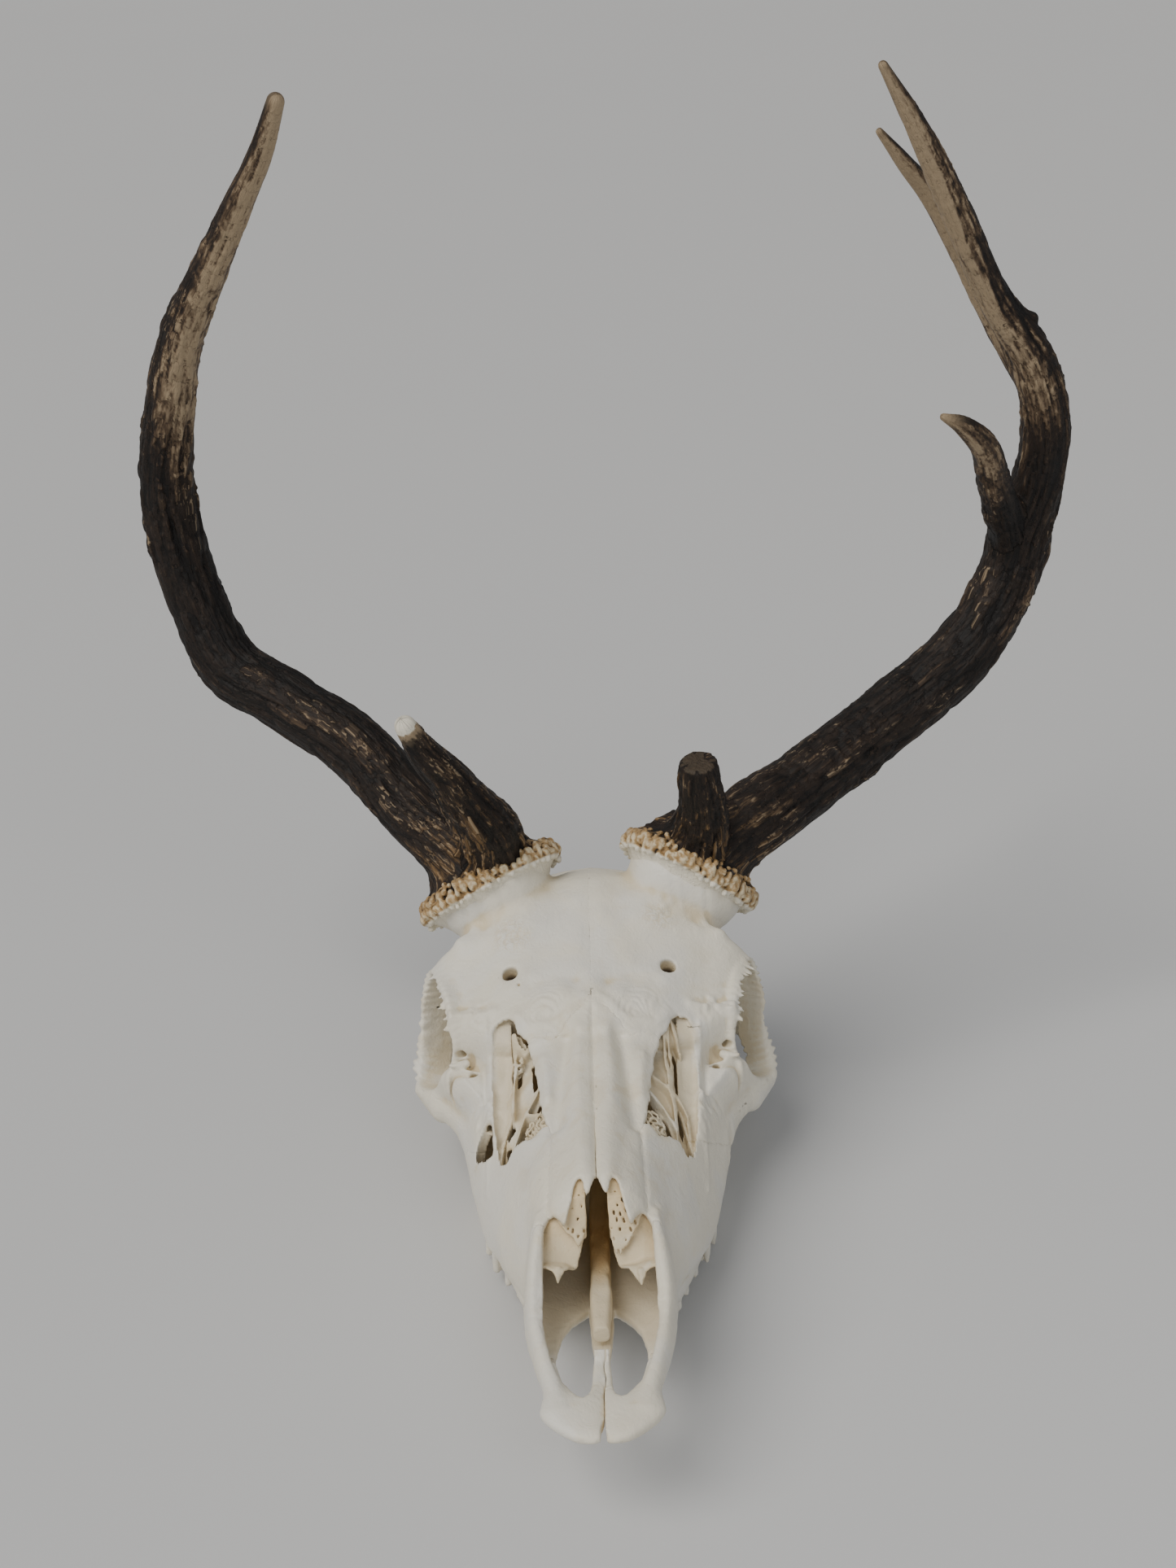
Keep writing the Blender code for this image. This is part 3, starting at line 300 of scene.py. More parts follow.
# Outline of the pierced leaf over it
LEAF_OUTLINE = [
    (4.4, 114), (4.8, 99), (6.2, 93.6), (8.4, 91.6), (10.8, 94), (14.4, 96.4), (17.4, 99.6), (18.8, 104),
    (19.4, 116),
]
LEAF_HEIGHT = 6.0                           # over the trough under it
LEAF_WALL_FROM = 99                         # y from which a wall joins the leaf and the trough
PORES = {-1: 60, 1: 150}                    # tries to set a pore in the left and in the right leaf
PORE_X, PORE_Y = (5.2, 17.5), (92.5, 109)
PORE_SPACING = 1.7
WEB_LOW, WEB_HIGH = (20, 146, 52), (46, 238, 104)
WEB_DEPTH = 8.0                             # of the pierced plate below the skull's outer faces
# Holes and struts of the thin bone seen through each vacuity
LEFT_WEB_HOLES = [
    [(-38.6, 240), (-25.0, 240), (-26.4, 213), (-30.4, 208), (-33.4, 213.5), (-36.4, 215.5), (-36.9, 200),
     (-38.4, 192), (-39.0, 200)],
    [(-36.0, 202), (-33.4, 202), (-33.4, 196.6), (-35.4, 195.2)],
    [(-28.6, 201.5), (-26.2, 201), (-24.6, 188.5), (-27.4, 188.0)],
    [(-23.8, 179.6), (-30.0, 173.8), (-31.2, 163.0), (-27.7, 165.4), (-23.4, 172.0)],
    [(-30.6, 172.6), (-32.7, 169.0), (-35.0, 158.6), (-30.0, 161.0)],
    [(-40.2, 169.0), (-38.2, 168.8), (-38.2, 162.6), (-40.2, 162.8)],
    [(-40.4, 181.8), (-37.4, 183.0), (-36.6, 176.0), (-39.6, 171.6)],
]
LEFT_STRUTS = [
    [(-25.0, 182.4), (-32.1, 172.6), (-36.4, 162.4), (-37.8, 151)],
    [(-36.8, 212.4), (-34.6, 208.0), (-31.5, 204.8), (-27.3, 206.5)],
    [(-36.6, 211.0), (-35.8, 202.0), (-37.0, 193.0), (-37.4, 180.0)],
    [(-25.8, 168.5), (-31.6, 174.0)],
]
RIGHT_WEB_HOLES = [
    [(36.3, 234), (41.0, 234), (40.2, 217.0), (35.4, 222.0)],
    [(36.6, 187.0), (40.4, 180.6), (38.5, 169.4), (36.6, 173.6)],
    [(23.4, 181.2), (29.4, 172.6), (23.8, 169.6)],
    [(29.4, 173.8), (32.4, 170.4), (36.0, 158.4), (32.5, 160.8)],
    [(33.0, 213.0), (34.6, 201), (34.0, 188.6), (33.0, 198)],
    [(36.2, 213.0), (38.8, 204.0), (38.2, 188.0), (36.4, 190.0)],
]
RIGHT_STRUTS = [
    [(32.3, 220.7), (32.7, 202.3), (34.6, 187.0), (36.0, 176.7), (36.4, 150)],
    [(35.2, 218.5), (39.8, 207.9)],
    [(33.9, 217.5), (35.4, 199.2), (34.7, 184)],
    [(25.4, 187.6), (32.0, 186.1), (37.4, 183.8), (41.6, 177.8), (42.3, 168)],
    [(24.0, 179.0), (30.4, 173.8), (35.6, 166.9)],
]

# ---------------------------------------------------------------- tables: antlers

# Beams and tines are stops of (x, y, z, radius). A burr has a centre, the antler's direction
# there, the direction of its long half size, and both half sizes.
LEFT_BURR = ((-47.5, 300, 123.5), (-0.43, 0.53, 0.73), (-0.86, 0.0, -0.51), (38.5, 31.0))
RIGHT_BURR = ((48.0, 300, 127), (0.482, 0.53, 0.70), (0.825, 0.0, -0.567), (36.5, 30.0))
STEM_RINGS = [(2.0, 0.86), (5.0, 0.90), (9.0, 0.86), (13.0, 0.74), (18.0, 0.68), (26.0, 0.52)]
BURR_RINGS = [(-9, 0.70), (-4, 0.80), (0, 0.92), (3, 0.94), (6, 0.90), (9.5, 0.80)]
BURR_HALF_HEIGHT = 9.0
BURR_REACH = 50                             # half size of the window round a burr
# Rows of the burr's pearls: height, share of the burr's size, half size, half height, spacing
PEARL_ROWS = [
    (2.4, 0.970, 1.8, 2.5, 3.2), (6.2, 0.95, 1.65, 2.4, 3.2), (-0.6, 0.94, 1.3, 1.6, 3.1),
    (9.0, 0.88, 1.3, 1.4, 3.2),
]
LEFT_BEAM = [
    (-58, 307, 138, 19.0), (-84, 325, 155, 16.5), (-114, 350, 180, 15.8), (-147, 372, 196, 15.6),
    (-180, 391, 212, 15.6), (-197, 403, 250, 14.8), (-203, 405, 286, 14.0), (-201, 402, 319, 13.0),
    (-185, 388, 377, 10.4), (-156, 366, 430, 7.6), (-131, 346, 472, 5.4), (-120, 336, 496, 4.0),
]
LEFT_BROW_TINE = [
    (-46, 299, 142, 16), (-47, 287, 163, 13.5), (-61, 272, 196, 9.5), (-72, 262, 217, 7.2),
    (-79, 256, 234, 5.0),
]
RIGHT_BEAM = [
    (60, 307, 138, 19.0), (82, 320, 147, 18.5), (106, 338, 154, 17.6), (151, 368, 174, 17.0),
    (194, 391, 200, 16.8), (217, 402, 232, 15.8), (226, 405, 262, 14.6), (233, 404, 290, 12.4),
    (234, 398, 320, 11.6), (223, 390, 356, 10.0), (201, 378, 390, 7.6), (178, 360, 436, 6.6),
    (160, 347, 470, 5.0), (142, 336, 500, 2.2),
]
RIGHT_BROW_TINE = [(52, 299, 144, 15), (56, 290, 164, 12.5), (55, 282, 184, 10.0), (54, 278, 199, 8.6)]
RIGHT_TREZ_TINE = [
    (220, 402, 256, 9), (214, 391, 276, 9.2), (205, 374, 300, 7.8), (197, 358, 321, 6.4),
    (185, 347, 335, 4.6), (174, 341, 342, 1.8),
]
RIGHT_REAR_TINE = [
    (226, 392, 344, 7), (213, 399, 362, 7), (197, 403, 392, 6.0), (176, 399, 429, 4.9),
    (162, 394, 447, 3.9), (148, 388, 464, 1.8),
]
# Each length: stops, strength of the relief, how far the pale tip reaches, how pale it is, blunt or not
LEFT_LENGTHS = [(LEFT_BEAM, 1.0, 12, 0.42, False), (LEFT_BROW_TINE, 1.3, 6, 1.0, False)]
RIGHT_LENGTHS = [
    (RIGHT_BEAM, 1.0, 26, 0.45, False), (RIGHT_BROW_TINE, 1.1, 1.5, 0.34, True),
    (RIGHT_TREZ_TINE, 1.3, 13, 0.75, False), (RIGHT_REAR_TINE, 0.9, 16, 0.45, False),
]
# Small knobs on the beams: (centre, radius)
LEFT_KNOBS = [((-103, 341, 183), 3.4), ((-163, 365, 430), 2.2)]
RIGHT_KNOBS = [((222, 386, 375), 3.2)]
ANTLER_BLEND = 5.0
RELIEF_SIZES = (5.2, 2.7, 2.3)              # round the antler: broad ridges, narrow ridges, beads
FULL_RELIEF_RADIUS = 13                     # of a beam whose relief has its full strength
LEFT_NODES = ("base", "lower_beam", "upper_beam", "brow_tine")
RIGHT_NODES = ("base", "lower_beam", "upper_beam", "front_tine", "brow_tine", "trez_tine", "rear_tine")
# Each antler: lengths, burr, knobs, the nodes that it replaces, and the seed of its relief
ANTLERS = {
    "left": (LEFT_LENGTHS, LEFT_BURR, LEFT_KNOBS, LEFT_NODES, 301),
    "right": (RIGHT_LENGTHS, RIGHT_BURR, RIGHT_KNOBS, RIGHT_NODES, 401),
}
ROUND_STEPS = 512                           # columns of a relief map, once round the antler
ROWS_PER_MM = 2
# Its pale stretch is drawn on faces that look forward only, so it is partly painted light.
BLEACHED_TINE = (194, 354, 318)             # middle of the pale stretch of the middle tine


# ---------------------------------------------------------------- points and plane shapes

def unit(vector):
    vector = np.array(vector, float)
    return vector / np.linalg.norm(vector)


def smooth_path(stops, steps):
    """Catmull-Rom curve through the stops, with the same number of steps between each two."""
    stops = np.array(stops, float)
    padded = np.vstack([2 * stops[0] - stops[1], stops, 2 * stops[-1] - stops[-2]])
    points = []
    for a, b, c, d in zip(padded, padded[1:], padded[2:], padded[3:]):
        for t in np.arange(steps) / steps:
            points.append(0.5 * (2 * b + (c - a) * t + (2 * a - 5 * b + 4 * c - d) * t ** 2
                                 + (3 * b - a - 3 * c + d) * t ** 3))
    points.append(stops[-1])
    return np.array(points)


def frames_along(points, across):
    """Unit vectors across and up at each point, carried along without twisting."""
    frames = []
    across = np.array(across, float)
    for tangent in np.gradient(points, axis=0):
        tangent = unit(tangent)
        across = unit(across - tangent * across.dot(tangent))
        frames.append((across, np.cross(tangent, across)))
    return frames


def mirrored(points):
    return [(-p[0], *p[1:]) for p in points]


def on_side(side, points):
    """Points given for the right side, for either side."""
    return points if side > 0 else mirrored(points)


def box_on_side(side, low, high):
    """Corners of a box given for the right side, for either side."""
    return (low, high) if side > 0 else ((-high[0], *low[1:]), (-low[0], *high[1:]))


def on_directions(axes, origin, directions):
    """How far places lie from an origin along each direction."""
    offset = [axis - start for axis, start in zip(axes, origin)]
    return [sum(o * d for o, d in zip(offset, direction)) for direction in directions]


def ramp(value, start, end):
    """0 before the start, 1 past the end, and straight between them."""
    return np.clip((value - start) / (end - start), 0, 1)


def common(first, *others):
    """What several bodies have in common, as distances."""
    for other in others:
        first = np.maximum(first, other)
    return first


def line_distance(x, y, line):
    """Distance in the plane to an open line of points."""
    nearest = np.full(np.broadcast(x, y).shape, 1e6, np.float32)
    for (ax, ay), (bx, by) in zip(line, line[1:]):
        ex, ey = bx - ax, by - ay
        t = np.clip(((x - ax) * ex + (y - ay) * ey) / (ex * ex + ey * ey), 0, 1)
        nearest = np.minimum(nearest, np.hypot(x - ax - t * ex, y - ay - t * ey))
    return nearest


def outline_distance(x, y, outline):
    """Distance in the plane to a closed outline, negative inside."""
    inside = np.zeros(np.broadcast(x, y).shape, bool)
    closed = outline + outline[:1]
    for (ax, ay), (bx, by) in zip(closed, closed[1:]):
        if ay != by:
            inside ^= ((ay > y) != (by > y)) & (x < (bx - ax) * (y - ay) / (by - ay) + ax)
    nearest = line_distance(x, y, closed)
    return np.where(inside, -nearest, nearest)


def lattice_noise(u, v, seed, size=64):
    """Smooth random values from -1 to 1, one bump per unit; size is the period along v."""
    table = np.random.default_rng(seed).uniform(-1, 1, (64, size)).astype(np.float32)
    u, v = np.broadcast_arrays(u, v)
    i, j = np.floor(u).astype(int), np.floor(v).astype(int)
    s, t = u - i, v - j
    s, t = s * s * (3 - 2 * s), t * t * (3 - 2 * t)
    near = table[i % 64, j % size] * (1 - s) + table[(i + 1) % 64, j % size] * s
    far = table[i % 64, (j + 1) % size] * (1 - s) + table[(i + 1) % 64, (j + 1) % size] * s
    return near * (1 - t) + far * t


def jagged(x, y, seed, coarse=4.0, fine=1.3):
    """Uneven offsets for a broken or interlocking edge, about 1 mm at most."""
    broad = 0.7 * lattice_noise(x / coarse, y / coarse, seed)
    return broad + 0.45 * lattice_noise(x / fine, y / fine, seed + 1)


def smooth_union(a, b, blend):
    if not blend:
        return np.minimum(a, b)
    overlap = np.maximum(blend - np.abs(a - b), 0) / blend
    return np.minimum(a, b) - overlap * overlap * blend / 4


def rounded_distance(parts, power):
    """Distance, to first order, to a rounded body; parts are (offset, half size) on its own axes."""
    total = sum((np.abs(offset) / half) ** power for offset, half in parts)
    reach = np.maximum(total, 1e-6) ** (1 / power)
    slope = sum((((np.abs(offset) / half) / reach) ** (power - 1) / half) ** 2 for offset, half in parts)
    return (reach - 1) / np.sqrt(slope + 1e-6)


# ---------------------------------------------------------------- field of distances

class Field:
    """Distances to a surface on a regular grid, negative inside."""

    def __init__(self, low, high, voxel, values=None):
        self.low = np.array(low, float)
        self.voxel = voxel
        cells = np.ceil((np.array(high) - self.low) / voxel).astype(int) + 1
        self.values = np.full(cells, FAR, np.float32) if values is None else values

    def window(self, low, high):
        """Slices between two corners, and the coordinates of their cells on each axis."""
        first = np.floor((np.array(low) - self.low) / self.voxel).astype(int)
        last = np.ceil((np.array(high) - self.low) / self.voxel).astype(int) + 1
        first = np.clip(first, 0, self.values.shape)
        last = np.clip(last, first, self.values.shape)
        axes = [(start + self.voxel * np.arange(a, b)).astype(np.float32)
                for start, a, b in zip(self.low, first, last)]
        slices = tuple(slice(a, b) for a, b in zip(first, last))
        return slices, np.meshgrid(*axes, indexing="ij", sparse=True)

    def whole(self):
        return self.window(self.low, self.low + self.voxel * (np.array(self.values.shape) - 1))

    def add(self, slices, distance, blend=0.0):
        self.values[slices] = smooth_union(self.values[slices], distance.astype(np.float32), blend)

    def cut(self, slices, distance, blend=0.0):
        self.values[slices] = -smooth_union(-self.values[slices], distance.astype(np.float32), blend)

    def mirrored(self):
        """The full body from its right half, whose first cells lie half a voxel from the middle."""
        values = np.concatenate([self.values[::-1], self.values])
        low = (-self.low[0] - self.voxel * (self.values.shape[0] - 1), *self.low[1:])
        return Field(low, low, self.voxel, values)

    def at(self, points):
        """Values at points, each between its eight nearest cells."""
        place = (np.asarray(points) - self.low) / self.voxel
        first = np.clip(np.floor(place).astype(int), 0, np.array(self.values.shape) - 2)
        share = np.clip(place - first, 0, 1)
        total = 0.0
        for corner in np.ndindex(2, 2, 2):
            weight = np.prod(np.where(corner, share, 1 - share), axis=-1)
            total = total + weight * self.values[tuple((first + corner).T)]
        return total


def field_on(axes, voxel, values=None):
    """Field on the cells of a window, empty unless values are given."""
    corner = [axis.flat[0] for axis in axes]
    if values is None:
        values = np.full(np.broadcast(*axes).shape, FAR, np.float32)
    return Field(corner, corner, voxel, values)


def loft(field, sections, shape, blend=0.0, cut=False, plate=False):
    """Body with upright superelliptic sections along Y, on both sides of the middle."""
    table = smooth_path(sections, 4)
    stations, top, bottom = table[:, 0], table[:, 3], table[:, 4]
    width = table[:, 2] if plate else table[:, 1]
    reach = FAR - 1
    slices, (x, y, z) = field.window((-width.max() - reach, stations[0] - reach, bottom.min() - reach),
                                     (width.max() + reach, stations[-1] + reach, top.max() + reach))
    column = [np.interp(y, stations, table[:, i]).astype(np.float32) for i in range(1, 5)]
    if plate:
        inner, outer, high, low = column
        centre, half, level = (inner + outer) / 2, (outer - inner) / 2, (high + low) / 2
    else:
        half, level, high, low = column
        centre = 0.0
    height = np.where(z >= level, high - level, level - low)
    power = np.where(z >= level, shape[0], shape[1]).astype(np.float32)
    distance = rounded_distance(((np.abs(x) - centre, half), (z - level, height)), power)
    past_end = np.maximum(stations[0] - y, y - stations[-1])
    distance = np.where(past_end > 0, np.hypot(np.maximum(distance, 0), past_end), distance)
    (field.cut if cut else field.add)(slices, distance, blend)


def bar(field, stops, blend=2.5, across=(1, 0, 0), power=2.2, steps=3, cut=False, frames=None):
    """Bar along a curve; each stop holds its place and one or two half sizes."""
    path = smooth_path(stops, steps) if steps > 1 else np.array(stops, float)
    points, sizes = path[:, :3], path[:, 3:]
    frames = frames or frames_along(points, across)
    reach = sizes.max() + 5
    slices, axes = field.window(points.min(axis=0) - reach, points.max(axis=0) + reach)
    part = field_on(axes, field.voxel)
    for i in range(len(points) - 1):
        segment(part, points[i:i + 2], sizes[i:i + 2], frames[i], power)
    (field.cut if cut else field.add)(slices, part.values, blend)


def segment(field, ends, sizes, sideways, power):
    """One straight length of a bar, with rounded ends."""
    start, end = ends
    length = np.linalg.norm(end - start)
    if length < 1e-6:
        return
    axis = (end - start) / length
    reach = sizes.max() + 4
    slices, axes = field.window(ends.min(axis=0) - reach, ends.max(axis=0) + reach)
    along, *offsets = on_directions(axes, start, (axis, *sideways))
    share = np.clip(along / length, 0, 1)
    halves = [sizes[0, k] * (1 - share) + sizes[1, k] * share for k in (0, sizes.shape[1] - 1)]
    parts = [*zip(offsets, halves), (along - share * length, np.minimum(*halves))]
    field.add(slices, rounded_distance(parts, power))


def ellipsoid(field, centre, half, blend=3.0, cut=False):
    reach = max(half) + 5
    slices, axes = field.window(np.array(centre) - reach, np.array(centre) + reach)
    parts = [(axis - c, h) for axis, c, h in zip(axes, centre, half)]
    (field.cut if cut else field.add)(slices, rounded_distance(parts, 2.0), blend)


def prism_cut(field, outline, low, high, seed=None, blend=0.0, roughness=1.0):
    """Cut an outline, seen from above, through all that lies between two levels."""
    nearest, furthest = np.min(outline, axis=0) - 4, np.max(outline, axis=0) + 4
    slices, (x, y, z) = field.window((*nearest, low - 2), (*furthest, high + 2))
    plane = outline_distance(x, y, outline)
    if seed is not None:
        plane = plane + roughness * jagged(x, y, seed)
    field.cut(slices, common(plane, np.abs(z - (low + high) / 2) - (high - low) / 2), blend)


# ---------------------------------------------------------------- skull: outer masses

def palate_z(y):
    return PALATE_FRONT_Z + PALATE_SLOPE * y


def orbit_edge():
    """Stops along the closed outer edge of the orbit, its axis, and the way out from its middle."""
    axis = unit(ORBIT_AXIS)
    closed = ORBIT_EDGE[-1:] + ORBIT_EDGE + ORBIT_EDGE[:2]
    stops = smooth_path(closed, 6)[6:-12]
    centre = stops[:, :3].mean(axis=0)
    radials = []
    for edge in stops[:, :3]:
        radial = edge - centre
        radials.append(unit(radial - axis * radial.dot(axis)))
    return stops, axis, np.array(radials)


def orbit_ring(field):
    """Rim of the orbit: a deep flat strap at the back, a thicker edge in front."""
    stops, axis, radials = orbit_edge()
    closed = np.vstack([stops, stops[:1]])
    radials = np.vstack([radials, radials[:1]])
    centre = closed[:, :3] - axis * closed[:, 3:] / 2
    sizes = np.column_stack([np.full(len(closed), ORBIT_RIM), closed[:, 3] / 2])
    frames = [(radial, axis) for radial in radials]
    bar(field, np.column_stack([centre, sizes]), blend=3.0, power=2.6, steps=1, frames=frames)


def orbit_hollow(field):
    """Hollow the eye socket inwards and backwards from its rim."""
    stops, axis, radials = orbit_edge()
    edge = stops[:, :3] - radials * ORBIT_RIM
    centre = edge.mean(axis=0)
    across = unit(np.cross(axis, (0, 0, 1)))
    up = np.cross(across, axis)
    place = edge - centre
    angles = np.arctan2(place @ up, place @ across)
    order = np.argsort(angles)
    radii = np.hypot(place @ up, place @ across)[order]
    levels = (place @ axis)[order]
    angles = angles[order]
    hollow = np.array(ORBIT_HOLLOW, float)[::-1]
    slices, axes = field.window(centre - 60, centre + 45)
    outward, sideways, upright = on_directions(axes, centre, (axis, across, up))
    along = outward
    for _ in range(2):
        share = np.interp(along, hollow[:, 0], hollow[:, 1])
        shift = np.interp(along, hollow[:, 0], hollow[:, 2])
        p = sideways - shift * across[1]
        q = upright - shift * up[1]
        angle = np.arctan2(q, p)
        along = outward - np.interp(angle, angles, levels, period=2 * np.pi) * share
    radius = np.interp(angle, angles, radii, period=2 * np.pi) * share
    field.cut(slices, common(np.hypot(p, q) - radius, along - hollow[-1, 0], hollow[0, 0] - along), 2.0)


def tooth(field, y, length, half_width, x, drop):
    """Cheek tooth of two lobes, with ribs on its cheek side and crescent hollows below."""
    reach = half_width + 5
    top = palate_z(y) + 6
    slices, (gx, gy, gz) = field.window((x - reach, y - length, -4), (x + reach, y + length, top + 4))
    shift = (gy - y) / length
    lobe = np.minimum(np.abs(shift - 0.25), np.abs(shift + 0.25)) * length
    taper = 0.86 + 0.14 * np.clip((gz - (top - 14)) / 14, 0, 1) ** 0.5 if half_width > 7 else 1.0
    crown = rounded_distance(((gx - x, half_width * taper), (lobe, length * 0.265)), 2.8)
    for share, radius in RIB_PLACES.items():
        rib = np.hypot(gx - (x + half_width * 0.93), gy - (y + share * length)) - radius
        crown = smooth_union(crown, rib, 1.5)
    floor = palate_z(gy) - drop
    wave = np.abs(np.sin(2 * np.pi * shift))
    inward = np.clip((x + half_width - gx) / (2 * half_width), 0, 1)
    low = floor + CUSP_DEPTH * (1 - wave) * (0.6 + 0.4 * inward) + 1.2 * inward
    hollow = np.exp(-((lobe - 1.0) / 2.2) ** 2) * np.exp(-((inward - 0.5) / 0.17) ** 2)
    low = low + CREST_DEPTH * hollow
    field.add(slices, common(crown, low - gz, gz - top), 0.8)


OUTER_LOFTS = ((FACE, FACE_SHAPE, 0), (FRONTAL_ROOF, ROOF_SHAPE, 5), (BRAINCASE, BRAINCASE_SHAPE, 5))
# Bars of the outer masses in the order that they are blended in, with what isn't usual about each
OUTER_BARS = (
    (BASIOCCIPITAL, {"blend": 4}), (PREMAXILLA_BAR, {"blend": 3}),
    (PALATINE_PROCESS, {"blend": 1.5, "power": 3.2}), (ALVEOLAR_RIDGE, {"blend": 4}), (CHEEK, {"blend": 5}),
    (ORBIT_FLOOR, {"blend": 4}), (ZYGOMATIC_ARCH, {"blend": 4}),
    (SQUAMOSAL_SHELF, {"blend": 5, "across": (0, 1, 0)}), (PARACONDYLAR, {"blend": 4}),
    (PTERYGOID, {"blend": 3}), (PEDICLE, {"blend": 6, "across": PEDICLE_ACROSS}),
    (NUCHAL_CREST, {"blend": 5}), (TEMPORAL_LINE, {"blend": 5}), (EAR_TUBE, {"blend": 3}),
)


def outer_half():
    """Right half of the skull's outer masses, before anything is hollowed."""
    field = Field((VOXEL / 2, *SKULL_LOW[1:]), SKULL_HIGH, VOXEL)
    for sections, shape, blend in OUTER_LOFTS:
        loft(field, sections, shape, blend)
    loft(field, PREMAXILLA_PLATE, PLATE_SHAPE, blend=1, plate=True)
    for stops, settings in OUTER_BARS:
        bar(field, stops, **settings)
    for centre, half in (CONDYLE, BULLA):
        ellipsoid(field, centre, half, blend=2.5)
    orbit_ring(field)
    return field


# ---------------------------------------------------------------- skull: relief of its upper face

def ridges(x, y, table):
    """Height of the ridges and grooves in a table, at places seen from above."""
    return sum(height * np.exp(-(line_distance(x, y, line) / width) ** 2) for line, width, height in table)


def patch(x, y, centre, radius):
    """1 at the centre of a round patch, fading to 0 past its radius."""
    return np.exp(-((x - centre[0]) ** 2 + (y - centre[1]) ** 2) / radius ** 2)


def nasal_relief(x, y):
    """Two rounded ridges beside the midline, a dip outside each, and a raised outer edge."""
    return ridges(np.abs(x), y, NASAL_RIDGES)


def frontal_relief(x, y):
    """Midline furrow, raised edge over the nasals, growth swirls, and rough bone below the burrs."""
    side = np.abs(x)
    relief = ridges(side, y, FRONTAL_RIDGES)
    rough = 0.8 * lattice_noise(x / 2.8, y / 3.2, 31) + 0.6 * lattice_noise(x / 5, y / 5, 32)
    fibres = lattice_noise(x / 2.6 + y / 11, y / 9, 33)
    worn = sum(patch(x, y, centre, radius) for centre, radius in WORN_FRONTAL)
    relief = relief + rough * worn + 0.7 * fibres * patch(side, y, (52, 284), 15)
    return relief + swirl(x, y, (-24, 214)) + swirl(x, y, (21, 214))


def swirl(x, y, centre):
    """Wandering growth lines round a point."""
    wander = 4.2 * lattice_noise(x / 9, y / 9, 35) + 1.2 * lattice_noise(x / 4, y / 4, 36)
    distance = np.hypot(x - centre[0], y - centre[1]) + wander
    return 0.36 * np.sin(2 * np.pi * distance / 3.6) * patch(x, y, (centre[0], centre[1] + 6), 11)


def lacrimal_relief(x, y):
    """Ridges and the pit on the lacrimal, and the pitted bone at its edges."""
    side = np.abs(x)
    pits = lattice_noise(x / 1.9, y / 1.9, 41) + 0.6 * lattice_noise(x / 3.5, y / 3.5, 42)
    worn = patch(side, y, (54, 187), 7) + patch(side, y, (56, 226), 8) + 0.5 * patch(side, y, (50, 182), 9)
    return ridges(side, y, LACRIMAL_RIDGES) + 0.9 * pits * worn


def add_relief(field):
    """Raise or sink the upper face by height maps; the sides move with it."""
    slices, (x, y, z) = field.window(*UPPER_FACE)
    gentle = 0.7 * lattice_noise(x / 15, y / 19, 51) + 0.16 * lattice_noise(x / 6, y / 9, 52)
    relief = nasal_relief(x, y) * ramp(y, 222, 214)
    relief = relief + frontal_relief(x, y) * ramp(y, 206, 212)
    relief = relief + lacrimal_relief(x, y) + gentle
    relief = relief * ramp(y, 96, 106) * ramp(y, 300, 290)
    field.values[slices] -= relief.astype(np.float32) * ramp(z, 57, 65)
    slices, (x, y, z) = field.window(*FLANKS)
    flanks = 0.7 * lattice_noise((x + z) / 17, y / 21, 53)
    flanks = flanks + 0.14 * lattice_noise((x - z) / 6, (y + z) / 7, 54)
    field.values[slices] -= flanks.astype(np.float32) * ramp(y, 40, 60)


# ---------------------------------------------------------------- skull: hollows and openings

ROOF_WALL = 2.2                                 # thickness of the nasal bones and round the vacuities
UPPER_FACE = ((-90, 88, 55), (90, 300, 160))    # corners of what the height maps move
FLANKS = ((-92, 40, 4), (92, 372, 140))         # corners of what the gentle waves move
THIN_WALL = 1.8                                 # least thickness anywhere over the nasal cavity
PLATE_INNER, PLATE_OUTER = 38.8, 49.9           # from the middle to the edges of the plate by a vacuity
PLATE_SLOPE = 0.62                              # how much deeper it lies for each mm inwards
PLATE_HALF_THICK = 0.8
PLATE_EDGE_DEPTH = 9.5                          # of its inner edge
SPONGE_PITCH = 3.6


def hollow_nose(skull, outer):
    """Nasal cavity, with thin walls where the openings show their edges."""
    cavity = Field(skull.low, skull.low, skull.voxel, np.full(skull.values.shape, FAR, np.float32))
    loft(cavity, NASAL_CAVITY, CAVITY_SHAPE)
    slices, (x, y, z) = skull.window((-62, 40, 20), (62, 236, 112))
    shell = common(outer.values[slices] + ROOF_WALL, 98 - y, y - 222, np.abs(x) - 50, 62 - z)
    room = common(cavity.values[slices], outer.values[slices] + THIN_WALL)
    skull.cut(slices, np.minimum(room, shell), 1.5)


def side_walls(skull, outer):
    """Sloping plate along the outer side of each vacuity, narrower in front, with a thin inner edge."""
    slices, (x, y, z) = skull.window((-54, 146, 48), (54, 240, 98))
    depth = -outer.values[slices]
    side = np.abs(x)
    taper = 5.0 * ramp(y, 181, 162)
    wander = 0.9 * lattice_noise((y + 40 * (x > 0)) / 9, y / 9, 61)
    drop = 0.8 * lattice_noise((y + 50 * (x > 0)) / 7, side / 5, 63)
    ledge = depth - 1.2 - PLATE_SLOPE * (48.5 - side) - drop
    inner = PLATE_INNER + taper - wander
    slope = common(inner - side, side - PLATE_OUTER, np.abs(ledge) - PLATE_HALF_THICK)
    edge = common(np.abs(side - inner) - 0.6, np.abs(depth - PLATE_EDGE_DEPTH + 0.6 * taper) - 3.6)
    ends = np.abs(y - 193) - 42 - 3 * lattice_noise(x / 4, y / 30, 62)
    skull.add(slices, common(smooth_union(slope, edge, 2.0), ends), 1.0)


